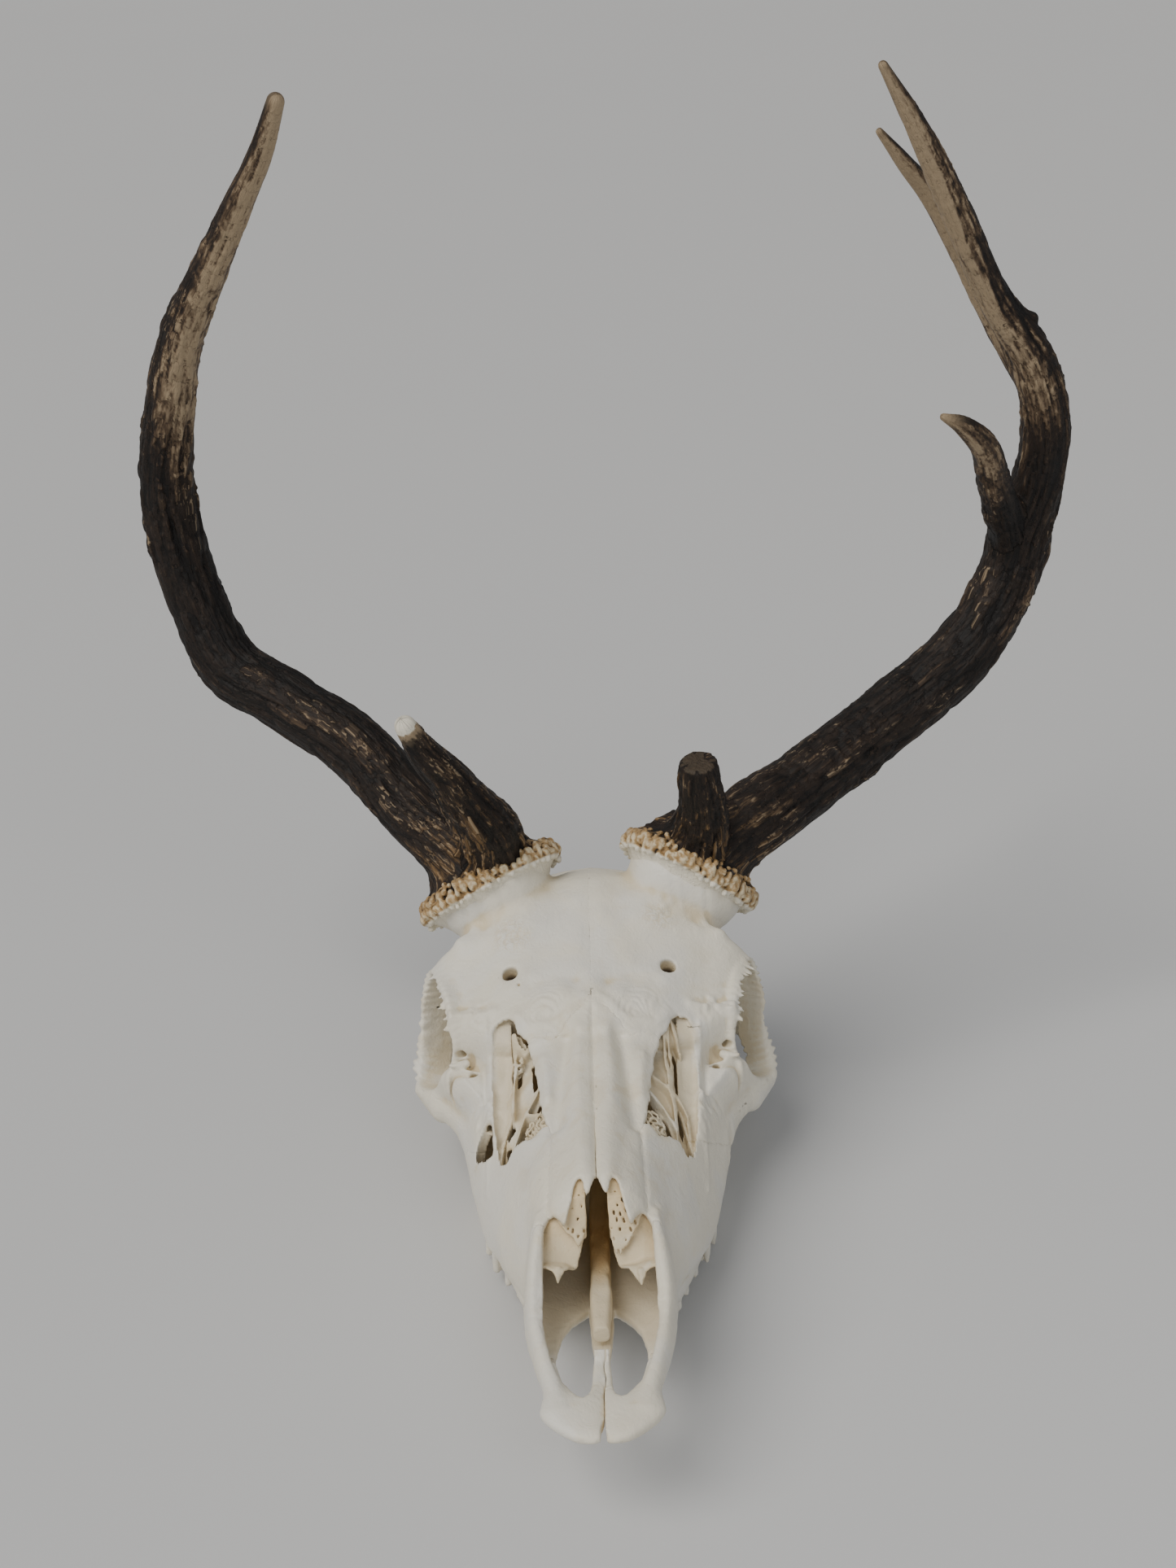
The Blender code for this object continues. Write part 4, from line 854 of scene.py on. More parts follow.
def brow_holes(skull):
    """Foramina over the eyes, each with a shallow channel running outwards."""
    for side, x, y in BROW_HOLES:
        hole = [(x, y, 120, 3.6), (x - 1, y + 5, 104, 3.6), (x - 2, y + 14, 82, 4)]
        channel = [(x - 1, y, 114.2, 2.8), (x + 5, y + 2.5, 114.4, 2.2), (x + 11, y + 4, 114.4, 1.2)]
        bar(skull, on_side(side, hole), blend=0.8, cut=True)
        bar(skull, on_side(side, channel), blend=4.0, cut=True)
    bar(skull, BROW_PINHOLE, blend=0.3, cut=True)


def tear_holes(skull):
    """Opening and slot at the front edge of the orbit, with the spur between them."""
    for side, _ in SIDES:
        for stops, blend in TEAR_CUTS:
            bar(skull, on_side(side, stops), blend=blend, cut=True)
        bar(skull, on_side(side, TEAR_SPUR), blend=2.0)


def brow_edges(skull):
    """Thorns along the brow edge and a corrugated strap on each orbit, and a spur below one of them."""
    random = np.random.default_rng(7)
    for side, _ in SIDES:
        for x, y, z in smooth_path(BROW_EDGE, 5):
            reach = random.uniform(0.4, 4.2)
            tip = (side * (x + reach), y - 0.45 * reach + random.normal(0, 0.5), z - 0.5 * reach)
            bar(skull, [(side * (x - 2.5), y + 1, z, 1.5), (*tip, 0.45)], blend=0.8, steps=1)
        slices, (x, y, z) = skull.window(*box_on_side(side, (76, 236, 50), (92, 268, 104)))
        waves = 0.5 * lattice_noise(z / 2.8, y / 9, 8 + side) + 0.2 * lattice_noise(z / 1.6, y / 5, 12 + side)
        skull.values[slices] -= (waves * ramp(np.abs(x), 79, 83)).astype(np.float32)
    bar(skull, LEFT_SPUR, blend=1.5, steps=1)


def openings(skull, outer):
    hollow_nose(skull, outer)
    bar(skull, CHOANA, cut=True, blend=2)
    prism_cut(skull, APERTURE + mirrored(APERTURE)[::-1], 50, 130, seed=81, blend=0.8, roughness=0.25)
    for side, seed in ((1, 82), (-1, 84)):
        prism_cut(skull, on_side(side, VACUITY), 60, 120, seed=seed, roughness=0.7)
        prism_cut(skull, on_side(side, FISSURE), 20, 60, seed=seed + 10, roughness=0.3, blend=1.0)
        prism_cut(skull, on_side(side, BAR_FLANK), 37.5, 52, blend=1.0)
    prism_cut(skull, INCISOR_NOTCH, 36, 60, seed=86, roughness=0.4)
    prism_cut(skull, FRONTAL_SPLIT, 98, 120)
    ellipsoid(skull, *FORAMEN_MAGNUM, cut=True)


def hollow_half(outer):
    """Sockets, ear holes and teeth, on the right half."""
    half = Field(outer.low, outer.low, outer.voxel, outer.values.copy())
    orbit_hollow(half)
    ellipsoid(half, *EAR_HOLE, blend=1, cut=True)
    for each in CHEEK_TEETH:
        tooth(half, *each)
    return half


def burr_axes(burr):
    """Centre of a burr, its axis and the directions of its long and short half sizes, and both sizes."""
    centre, axis, long, half = burr
    axis = unit(axis)
    long = unit(np.array(long) - axis * axis.dot(long))
    return np.array(centre, float), axis, long, np.cross(axis, long), half


def at_burr(field, burr):
    """Cells round a burr: their slices, places along its long and short sides, and heights over it."""
    centre, axis, long, short, _ = burr_axes(burr)
    slices, axes = field.window(centre - BURR_REACH, centre + BURR_REACH)
    return slices, *on_directions(axes, centre, (long, short, axis))


def trim_pedicle(skull, burr):
    """End the bone below the burr at the burr's plane."""
    slices, a, b, height = at_burr(skull, burr)
    long_half, short_half = burr[-1]
    reach = rounded_distance(((a, long_half * 1.25), (b, short_half * 1.25)), 2.0)
    skull.cut(slices, common(reach, -height))


def whole_skull():
    """The skull in one field, and the field of its outer masses."""
    outer_right = outer_half()
    skull = hollow_half(outer_right).mirrored()
    outer = outer_right.mirrored()
    add_relief(outer)
    add_relief(skull)
    openings(skull, outer)
    side_walls(skull, outer)
    brow_holes(skull)
    tear_holes(skull)
    brow_edges(skull)
    prism_cut(skull, LEFT_HOLE, 40, 80, seed=71, roughness=0.6)
    prism_cut(skull, BROKEN_CHEEK, 36, 60, seed=72)
    for burr in (LEFT_BURR, RIGHT_BURR):
        trim_pedicle(skull, burr)
    z = skull.whole()[1][2]
    np.maximum(skull.values, -z, out=skull.values)
    return skull, outer


# ---------------------------------------------------------------- parting into bones

def reach_of(outline, inner, outer):
    """Corners of the part of the grid that a region seen from the side can hold."""
    low, high = np.min(outline, axis=0) - 2, np.max(outline, axis=0) + 2
    return (inner - 2, *low), (outer + 2, *high)


def part_off(rest, corners, region, gap):
    """Take one bone out of what is left of the skull, with a thin gap or lap round it."""
    slices, axes = rest.window(*corners)
    inside = region(*axes)
    bone = common(rest.values[slices], inside).astype(np.float32)
    lap = gap(*axes) if callable(gap) else gap
    rest.values[slices] = common(rest.values[slices], lap - inside)
    return field_on(axes, rest.voxel, bone)


def nasal_region(side):
    """One nasal bone: the two part in front and are grown together further back."""
    outline = [(side * -3, 84)] + on_side(side, NASAL_REGION) + [(side * -3, 231)]

    def region(x, y, z):
        plane = outline_distance(x, y, outline) + 0.9 * jagged(x, y, 101 + side, 3.0, 1.6)
        opening = np.interp(y, (125, 160, 195), (OPEN_SUTURE, FAINT_SUTURE, GROWN_SUTURE))
        middle = opening / 2 - side * (x + 0.35 * lattice_noise(y / 7, 0 * y, 99))
        return common(plane, middle, 66 - z)
    return region


def nasal_lap(x, y, z):
    """Lap round the nasal bones: more at the middle than at their outer sides."""
    return np.where(np.abs(x) < 4, GROWN_SUTURE, FAINT_SUTURE)


def side_region(inner, outer, outline, side, seed):
    """One of a pair of bones, by its outline seen from the side."""
    def region(x, y, z):
        plane = outline_distance(y, z, outline) + 1.3 * jagged(y + 60 * side, z, seed)
        if inner:
            return common(plane, inner - side * x, side * x - outer)
        wander = 0.5 * lattice_noise(y / 6, z / 9, 98)
        return common(plane, GROWN_SUTURE / 2 - side * (x + wander), side * x - outer)
    return region


def middle_region(outline):
    """One of the middle bones, by its outline seen from the side."""
    def region(x, y, z):
        return outline_distance(y, z, outline) + 0.8 * jagged(x, z + y, 140)
    return region


def part_skull(skull):
    """Bones by name, cut off from front to back; what is left is the sphenoid."""
    bones = {}
    for side, word in SIDES:
        corners = box_on_side(side, NASAL_LOW, NASAL_HIGH)
        bones[f"nasal_{word}"] = part_off(skull, corners, nasal_region(side), nasal_lap)
    for number, (name, (inner, outer, outline)) in enumerate(SIDE_REGIONS.items()):
        for side, word in SIDES:
            corners = box_on_side(side, *reach_of(outline, inner, outer))
            region = side_region(inner, outer, outline, side, 110 + 4 * number)
            bones[f"{name}_{word}"] = part_off(skull, corners, region, SUTURES.get(name, GROWN_SUTURE))
    for name, outline in MIDLINE_REGIONS.items():
        corners = reach_of(outline, -SKULL_HALF_WIDTH, SKULL_HALF_WIDTH)
        bones[name] = part_off(skull, corners, middle_region(outline), FAINT_SUTURE)
    bones["sphenoid"] = skull
    return bones


# ---------------------------------------------------------------- bones inside the nose

def vomer():
    """Long trough, whose thin side walls show at its top."""
    field = Field((-8, 58, 22), (8, 205, 58), FINE_VOXEL)
    loft(field, VOMER, VOMER_SHAPE)
    x, y, z = field.whole()[1]
    trough = 1.7 * np.exp(-(x / 3.3) ** 4) * ramp(y, 80, 100) * (z > 42)
    field.values += (trough + 0.25 * lattice_noise(x / 3, y / 5, 151)).astype(np.float32)
    return field


def concha_level(across, y):
    """Height of the scroll at each distance from the middle and each place along Y."""
    columns = np.array([np.interp(across.ravel(), CONCHA_X, row) for row in CONCHA_Z])
    return np.array([np.interp(y.ravel(), CONCHA_Y, column) for column in columns.T])[:, :, None]


def concha(side, outer, seed):
    """Trough under the nasal bone, which ends in a spur, and the pierced leaf over it."""
    field = Field(*box_on_side(side, CONCHA_LOW, CONCHA_HIGH), FINE_VOXEL)
    slices, (x, y, z) = field.whole()
    across = np.abs(x)
    ahead = y - CONCHA_BACK[side]
    level = concha_level(across, y) + 0.7 * lattice_noise(x / 5, y / 5, seed)
    share = ramp(y, 84, 93)
    trough = level - LEAF_HEIGHT * share * share * (3 - 2 * share)

    def sheet(height, outline, half_thick):
        slope = np.hypot(*np.gradient(height[:, :, 0], FINE_VOXEL))[:, :, None]
        edge = outline_distance(across, ahead, outline) + 0.5 * jagged(x, y, seed + 1)
        return common(np.abs(z - height) / np.sqrt(1 + slope ** 2) - half_thick, edge)

    leaf = sheet(level, LEAF_OUTLINE, LEAF_HALF_THICK)
    leaf = common(leaf, -pore_distance(across, y, PORES[side], seed + 2))
    wall = common(np.abs(across - 5.2 - 0.05 * (y - 96)) - 0.5, trough - z, z - level, LEAF_WALL_FROM - y,
                  outline_distance(across, ahead, LEAF_OUTLINE) - 0.3)
    for body in (sheet(trough, CONCHA_OUTLINE, CONCHA_HALF_THICK), leaf, wall):
        field.add(slices, body, 0.8)
    tip = CONCHA_SPUR_Y[side]
    bar(field, [(side * 17, tip + 4, 61, 1.3), (side * 17.4, tip, 57.5, 0.5)], blend=1.4, steps=1)
    np.maximum(field.values, (1.0 - depth_in(field, outer)).astype(np.float32), out=field.values)
    return field


def pore_distance(x, y, tries, seed):
    """Distance to a scatter of small oval pores that stay apart, drawn out along Y."""
    random = np.random.default_rng(seed)
    nearest = np.full(np.broadcast(x, y).shape, FAR, np.float32)
    placed = []
    for _ in range(tries):
        px, py = random.uniform(*PORE_X), random.uniform(*PORE_Y)
        half = random.uniform(0.30, 0.50)
        if any(math.hypot(px - qx, 0.6 * (py - qy)) < PORE_SPACING for qx, qy in placed):
            continue
        placed.append((px, py))
        parts = ((x - px + 0.3 * (y - py), half), (y - py, half * random.uniform(1.1, 2.0)))
        nearest = np.minimum(nearest, rounded_distance(parts, 2.0))
    return nearest


def depth_in(field, outer):
    """How far each cell of a smaller field lies below the skull's outer faces."""
    points = np.stack(np.broadcast_arrays(*field.whole()[1]), axis=-1).reshape(-1, 3)
    return -outer.at(points).reshape(field.values.shape)


def vacuity_web(side, outer, seed):
    """Pierced plate and struts of thin bone seen through the vacuity beside the nasal bone."""
    field = Field(*box_on_side(side, WEB_LOW, WEB_HIGH), FINE_VOXEL)
    slices, (x, y, z) = field.whole()
    depth = depth_in(field, outer)
    edge = outline_distance(x, y, on_side(side, VACUITY)) - 3.5
    holes, struts = (RIGHT_WEB_HOLES, RIGHT_STRUTS) if side > 0 else (LEFT_WEB_HOLES, LEFT_STRUTS)
    level = WEB_DEPTH + 1.8 * lattice_noise(x / 8, y / 10, seed) + 0.7 * lattice_noise(x / 3, y / 4, seed + 1)
    plate = common(np.abs(depth - level) - 0.6, edge)
    for i, hole in enumerate(holes):
        plate = common(plate, -(outline_distance(x, y, hole) + 0.5 * jagged(x, y, seed + 2 + i)))
    for strut in struts:
        fin = line_distance(x, y, strut) + 0.4 * lattice_noise(x / 3, y / 3, seed + 20) - 0.6
        plate = smooth_union(plate, common(fin, np.abs(depth - 5.6) - 3.2), 1.4)
    field.add(slices, common(plate, edge))
    sponge(field, depth, (side * 25, 161), 6.0)
    if side < 0:
        sponge(field, depth, (-34, 202), 3.0)
    return field


def sponge(field, depth, centre, radius):
    """Clump of spongy bone: a wandering net of rods, cut off below the skull's surface."""
    slices, (x, y, z) = field.whole()
    turns = 2 * np.pi / SPONGE_PITCH
    pairs = ((y, z), (x, z), (x, y))
    u, v, w = (axis + 1.3 * lattice_noise(a / 3, b / 3, 211 + i)
               for i, (axis, (a, b)) in enumerate(zip((x, y, z), pairs)))
    net = np.sin(u * turns) * np.cos(v * turns) + np.sin(v * turns) * np.cos(w * turns)
    net = net + np.sin(w * turns) * np.cos(u * turns)
    ball = np.hypot(x - centre[0], y - centre[1]) - radius + 1.5 * lattice_noise(x / 3, y / 3, 214)
    field.add(slices, common((net + 0.35) * 0.7, ball, 1.6 - depth, depth - 7.5), 0.6)


# ---------------------------------------------------------------- meshes

def connected(count, *faces):
    """Label of the connected piece that each point belongs to."""
    label = np.arange(count)
    first = np.concatenate([part[:, i] for part in faces for i in range(part.shape[1] - 1)])
    second = np.concatenate([part[:, i + 1] for part in faces for i in range(part.shape[1] - 1)])
    while True:
        low = np.minimum(label[first], label[second])
        merged = label.copy()
        np.minimum.at(merged, label[first], low)
        np.minimum.at(merged, label[second], low)
        while not np.array_equal(merged, merged[merged]):
            merged = merged[merged]
        if np.array_equal(merged, label):
            return label
        label = merged


def surface(field, adaptivity, crumbs=0.03):
    """Points, triangles and four-sided faces of a field's surface, without loose crumbs."""
    grid = openvdb.FloatGrid(background=FAR)
    grid.copyFromArray(np.pad(field.values, 1, constant_values=FAR))
    points, triangles, quads = grid.convertToPolygons(isovalue=0.0, adaptivity=adaptivity)
    label = connected(len(points), triangles, quads)
    sizes = np.bincount(label, minlength=len(points))
    keep = sizes[label] > crumbs * sizes.max()
    index = np.cumsum(keep) - 1
    faces = [index[part[keep[part[:, 0]]]] for part in (triangles, quads)]
    return field.low + (points[keep] - 1) * field.voxel, faces


def set_values(mesh, name, values):
    """Give each point of a mesh its value or vector."""
    kind, field = ("FLOAT", "value") if values.ndim == 1 else ("FLOAT_VECTOR", "vector")
    mesh.attributes.new(name, kind, "POINT").data.foreach_set(field, values.astype(np.float32).ravel())


def add_mesh(name, points, faces, attributes):
    """Object with a smooth mesh and its per-point values, in metres in the model's frame."""
    mesh = bpy.data.meshes.new(name)
    mesh.vertices.add(len(points))
    mesh.vertices.foreach_set("co", ((points - ORIGIN) * MM).astype(np.float32).ravel())
    triangles, quads = faces
    corners = np.concatenate([triangles.ravel(), quads.ravel()])
    mesh.loops.add(len(corners))
    mesh.loops.foreach_set("vertex_index", corners.astype(np.int32))
    mesh.polygons.add(len(triangles) + len(quads))
    starts = np.concatenate([3 * np.arange(len(triangles)), triangles.size + 4 * np.arange(len(quads))])
    mesh.polygons.foreach_set("loop_start", starts.astype(np.int32))
    mesh.update(calc_edges=True)
    mesh.shade_smooth()
    for key, values in attributes.items():
        set_values(mesh, key, values)
    return link_object(name, mesh)


def box_blur(values, radius):
    """Mean over a box round each cell."""
    width = 2 * radius + 1
    for axis in range(3):
        margins = [(radius + 1, radius) if i == axis else (0, 0) for i in range(3)]
        total = np.cumsum(np.pad(values, margins, mode="edge"), axis=axis, dtype=np.float64)
        upper = np.take(total, range(width, total.shape[axis]), axis=axis)
        lower = np.take(total, range(0, total.shape[axis] - width), axis=axis)
        values = ((upper - lower) / width).astype(np.float32)
    return values


def fullness(skull, radius):
    """Share of bone round each place: half on a flat face, more in a recess, less on an edge."""
    coarse = (skull.values[::2, ::2, ::2] < 0).astype(np.float32)
    cells = max(1, round(radius / (2 * skull.voxel)))
    return Field(skull.low, skull.low, 2 * skull.voxel, box_blur(coarse, cells))


def bone_attributes(points, outer, full_near, full_wide):
    """Depth below the outer faces, how much bone is round each point, and how far inside the nose it is."""
    depth = np.maximum(0, -outer.at(points))
    y, z = points[:, 1], points[:, 2]
    inner = np.clip((depth - 0.8) / 1.6, 0, 1) * ramp(y, 54, 70)
    cave = inner * ramp(y, 80, 116) * ramp(y, 150, 125) * ramp(z, 30, 50)
    return {"depth": depth * ramp(y, 70, 130), "inner": inner, "cave": cave,
            "near": full_near.at(points), "wide": full_wide.at(points)}


# ---------------------------------------------------------------- materials

class Shader:
    """Short ways to add nodes to a material, and values or links to their inputs."""

    def __init__(self, name, roughness):
        self.material = bpy.data.materials.new(name)
        self.material.use_nodes = True
        self.tree = self.material.node_tree
        self.principled = self.tree.nodes["Principled BSDF"]
        self.principled.inputs["Roughness"].default_value = roughness
        self.coordinates = self.tree.nodes.new("ShaderNodeTexCoord").outputs["Object"]

    def node(self, kind, inputs, **settings):
        """New node of a kind, with its settings, and with values or links on its inputs."""
        node = self.tree.nodes.new("ShaderNode" + kind)
        for key, value in settings.items():
            setattr(node, key, value)
        return self.fill(node, inputs)

    def fill(self, node, values):
        for key, value in values.items():
            socket = node.inputs[key]
            if isinstance(value, bpy.types.NodeSocket):
                self.tree.links.new(value, socket)
            else:
                socket.default_value = value
        return node

    def attribute(self, name, output="Fac"):
        return self.node("Attribute", {}, attribute_name=name).outputs[output]

    def noise(self, scale, detail=3.0, distortion=0.0, stretch=None, vector=None):
        vector = vector or self.coordinates
        if stretch:
            vector = self.node("Mapping", {"Vector": vector, "Scale": stretch}).outputs["Vector"]
        inputs = {"Vector": vector, "Scale": scale, "Detail": detail, "Distortion": distortion}
        return self.node("TexNoise", inputs).outputs["Fac"]

    def cells(self, scale):
        return self.node("TexVoronoi", {"Vector": self.coordinates, "Scale": scale}).outputs["Distance"]

    def math(self, operation, a, b):
        return self.node("Math", {0: a, 1: b}, operation=operation).outputs[0]

    def times(self, a, b):
        return self.math("MULTIPLY", a, b)

    def fade(self, value, low, high):
        """0 below low, 1 above high, smooth between."""
        inputs = {"Value": value, "From Min": low, "From Max": high}
        return self.node("MapRange", inputs, interpolation_type="SMOOTHSTEP").outputs["Result"]

    def mix(self, share, a, b):
        return self.node("Mix", {"Factor": share, 6: a, 7: b}, data_type="RGBA").outputs[2]

    def coats(self, colour, *coats):
        """Lay coats over a colour, each given as its share and its own colour."""
        for share, over in coats:
            colour = self.mix(share, colour, over)
        return colour

    def near(self, place, radius):
        """1 at a place given in the skull's frame, fading to 0 at the radius."""
        middle = tuple((np.array(place) - ORIGIN) * MM)
        distance = self.node("VectorMath", {0: self.coordinates, 1: middle}, operation="DISTANCE")
        return self.fade(distance.outputs["Value"], radius * MM, 0.4 * radius * MM)

    def bump(self, height, distance, strength=1.0, normal=None):
        values = {"Height": height, "Distance": distance * MM, "Strength": strength}
        if normal:
            values["Normal"] = normal
        return self.node("Bump", values).outputs["Normal"]

    def finish(self, colour, normal):
        self.fill(self.principled, {"Base Color": colour, "Normal": normal})
        return self.material


BONE_WHITE = (0.80, 0.75, 0.625, 1)
BONE_COOL = (0.775, 0.745, 0.665, 1)
BONE_CREAM = (0.70, 0.60, 0.42, 1)
BONE_IVORY = (0.74, 0.58, 0.34, 1)
BONE_OCHRE = (0.68, 0.42, 0.17, 1)
# Dark brown painted shade for the deepest pockets of bone.
BONE_SHADE_BROWN = (0.10, 0.055, 0.025, 1)
WORN_PATCHES = (((-37, 262, 118), 13), ((33, 268, 122), 11))    # places and radii of the rough patches
ANTLER_BLACK = (0.0055, 0.0042, 0.0036, 1)
ANTLER_BROWN = (0.020, 0.0125, 0.0085, 1)
ANTLER_TAN = (0.11, 0.070, 0.040, 1)
ANTLER_CREAM = (0.36, 0.27, 0.17, 1)
ANTLER_OCHRE = (0.20, 0.115, 0.045, 1)
BURR_IVORY = (0.70, 0.585, 0.385, 1)
BURR_OCHRE = (0.40, 0.25, 0.105, 1)
PAPER_COOL = (0.60, 0.605, 0.61, 1)
PAPER_PLAIN = (0.62, 0.62, 0.62, 1)


def bone_material():
    """Near-white bone; cream in recesses, partly its own tint and partly painted shade; cream on thin walls,
    ochre deep inside the nose, and painted dark brown shade in the deepest pockets.
    """
    shader = Shader("bone", roughness=0.5)
    near, wide, depth, inner, cave = (shader.attribute(n) for n in ("near", "wide", "depth", "inner", "cave"))
    blotch = shader.noise(28, 4, 0.6)
    mottle = shader.fade(shader.noise(95, 4, 0.8), 0.45, 0.7)
    # Cream where much bone lies close round a point: partly the bone's own cream, partly painted shade in the
    # recesses.
    recess = shader.math("ADD", shader.fade(near, 0.50, 0.66), shader.times(mottle, 0.2))
    thin_edge = shader.times(shader.fade(near, 0.38, 0.2), mottle)
    stain = shader.fade(shader.noise(9, 3, 1.0), 0.5, 0.75)
    worn = shader.math("MAXIMUM", *(shader.near(place, radius) for place, radius in WORN_PATCHES))
    crumbs = shader.noise(480, 4, 1.0)
    crumbled = shader.times(shader.times(worn, 0.6), shader.fade(crumbs, 0.6, 0.4))
    colour = shader.coats(
        BONE_WHITE,
        (shader.fade(blotch, 0.42, 0.62), BONE_COOL),
        (shader.fade(recess, 0.05, 0.75), BONE_CREAM),
        (shader.times(thin_edge, 0.5), BONE_CREAM),
        # Cream where much bone lies round a point further out: partly the bone's own cream, partly painted
        # shade in broad hollows.
        (shader.times(shader.fade(wide, 0.50, 0.68), 0.85), BONE_CREAM),
        (shader.times(inner, 0.75), BONE_CREAM),
        (shader.fade(cave, 0.3, 1.0), BONE_IVORY),
        (shader.fade(depth, 8.0, 22.0), BONE_IVORY),
        (shader.fade(depth, 20.0, 40.0), BONE_OCHRE),
        # Painted shade: dark brown where bone surrounds a point most widely.
        (shader.fade(wide, 0.72, 0.86), BONE_SHADE_BROWN),
        (shader.times(stain, 0.35), BONE_CREAM),
        (crumbled, BONE_CREAM))
    grain = shader.bump(shader.noise(900, 4, 0.3, stretch=(1, 0.35, 1)), 0.14)
    pits = shader.bump(shader.fade(shader.cells(420), 0.05, 0.35), 0.10, 0.6, grain)
    waves = shader.bump(shader.noise(150, 3, 1.2), 0.6, 0.7, pits)
    return shader.finish(colour, shader.bump(shader.times(worn, crumbs), 0.8, 0.8, waves))


def nose_material():
    """Thin porous bone inside the nose: cream at its edges, ochre-brown deeper in."""
    shader = Shader("nose_bone", roughness=0.55)
    depth, cave, near = (shader.attribute(n) for n in ("depth", "cave", "near"))
    colour = shader.coats(
        BONE_WHITE,
        (shader.fade(shader.noise(60, 4, 0.8), 0.25, 0.5), BONE_CREAM),
        # Cream where much bone lies close round a point: partly the bone's own cream, partly painted shade in
        # the recesses.
        (shader.times(shader.fade(near, 0.3, 0.6), 0.5), BONE_CREAM),
        (shader.fade(depth, 8.0, 22.0), BONE_IVORY),
        (shader.fade(cave, 0.18, 0.8), BONE_IVORY),
        (shader.times(cave, shader.fade(depth, 10.0, 26.0)), BONE_OCHRE))
    grain = shader.bump(shader.noise(700, 4, 0.4), 0.16)
    return shader.finish(colour, shader.bump(shader.fade(shader.cells(500), 0.1, 0.4), 0.12, 0.7, grain))


def antler_material():
    """Black furrows and brown ridges, tan streaks and cream flecks, ochre at the base, pale at the top, and
    painted light on faces that look forward.
    """
    shader = Shader("antler", roughness=0.62)
    shader.principled.inputs["Specular IOR Level"].default_value = 0.3
    crest, tip, pale, base = (shader.attribute(name) for name in ("crest", "tip", "pale", "base"))
    flow = shader.attribute("flow", "Vector")
    streak = shader.noise(380, 3, 0.4, stretch=(0.08, 1, 1), vector=flow)
    fleck = shader.noise(640, 3, 0.6, stretch=(0.28, 1, 1), vector=flow)
    tone = shader.noise(70, 3, 0.5, stretch=(0.3, 1, 1), vector=flow)
    # pale adds the bleaching high on the beams and painted light on the faces that look forward.
    parts = ((crest, 0.42), (streak, 0.85), (fleck, 0.60), (tone, 0.35), (pale, 0.46), (base, 0.06))
    level = 0.0
    for value, weight in parts:
        level = shader.math("ADD", shader.times(value, weight), level)
    knobs = shader.times(shader.fade(crest, 0.72, 0.95), shader.fade(fleck, 0.56, 0.68))
    colour = shader.coats(
        ANTLER_BLACK,
        (shader.fade(level, 1.02, 1.30), ANTLER_BROWN),
        (shader.fade(level, 1.30, 1.62), shader.mix(base, ANTLER_TAN, ANTLER_OCHRE)),
        (shader.fade(level, 1.50, 1.85), ANTLER_CREAM),
        (shader.times(knobs, 0.65), ANTLER_CREAM),
        (shader.fade(tip, 0.22, 0.75), ANTLER_CREAM),
        (shader.fade(tip, 0.75, 0.95), BONE_WHITE))
    return shader.finish(colour, shader.bump(streak, 1.3, 1.0, shader.bump(fleck, 0.7)))


def burr_material():
    """Ivory pearls with ochre sides and dark gaps, and a pale underside."""
    shader = Shader("burr", roughness=0.5)
    crest, under = shader.attribute("crest"), shader.attribute("under")
    mottle = shader.times(shader.math("SUBTRACT", shader.noise(330, 4, 0.8), 0.5), 1.5)
    level = shader.math("ADD", crest, mottle)
    colour = shader.coats(
        ANTLER_BROWN,
        (shader.fade(level, 0.15, 0.55), BURR_OCHRE),
        (shader.fade(level, 0.54, 0.98), BURR_IVORY),
        (shader.fade(level, 1.05, 1.4), BONE_WHITE),
        (shader.fade(under, 0.35, 0.75), BONE_WHITE))
    return shader.finish(colour, shader.bump(shader.noise(620, 4, 0.8), 0.9))


def paper_material():
    shader = Shader("floor", roughness=0.8)
    paper = shader.mix(shader.noise(1.5, 2), PAPER_COOL, PAPER_PLAIN)
    return shader.finish(paper, shader.bump(shader.noise(600, 2), 0.02))


# ---------------------------------------------------------------- antlers

def relief_map(length, radii, strength, seed):
    """Ridges, beads and furrows, in mm, by length along and angle round a beam."""
    s = np.arange(0, length + 2, 1 / ROWS_PER_MM, dtype=np.float32)[:, None]
    turn = (np.arange(ROUND_STEPS, dtype=np.float32) / ROUND_STEPS)[None, :]
    turn = turn + 0.04 * lattice_noise(s / 40, 3 * turn, seed, 3)
    around = 2 * math.pi * np.mean(radii)
    wide, narrow, bead = (max(6, round(around / size)) for size in RELIEF_SIZES)
    broad = lattice_noise(s / 42, wide * turn, seed + 1, wide)
    fine = lattice_noise(s / 13, narrow * turn, seed + 2, narrow)
    furrows = 0.8 * np.exp(-(broad / 0.16) ** 2) + 0.7 * np.exp(-(fine / 0.22) ** 2)
    beads = np.maximum(0, lattice_noise(s / 2.6, bead * turn, seed + 3, bead)) ** 1.2
    beading = np.clip(0.3 + 0.9 * lattice_noise(s / 30, 3 * turn, seed + 4, 3), 0, 1)
    flutes = lattice_noise(s / 90, wide // 2 * turn, seed + 5, wide // 2)
    relief = 0.6 - furrows + 0.5 * fine + 1.5 * beads * beading + 0.8 * flutes
    share = size_share(np.interp(s, np.linspace(0, length, len(radii)), radii))
    return (relief * strength * share).astype(np.float32)


def size_share(radius):
    """How strong the relief is on a length of this radius."""
    return np.clip(radius / FULL_RELIEF_RADIUS, 0.25, 1.1)


def read_relief(texture, s, angle):
    """Relief at a length along and an angle round."""
    row = np.clip((ROWS_PER_MM * s).astype(int), 0, len(texture) - 1)
    column = (angle / (2 * np.pi) * ROUND_STEPS).astype(int) % ROUND_STEPS
    return texture[row, column]


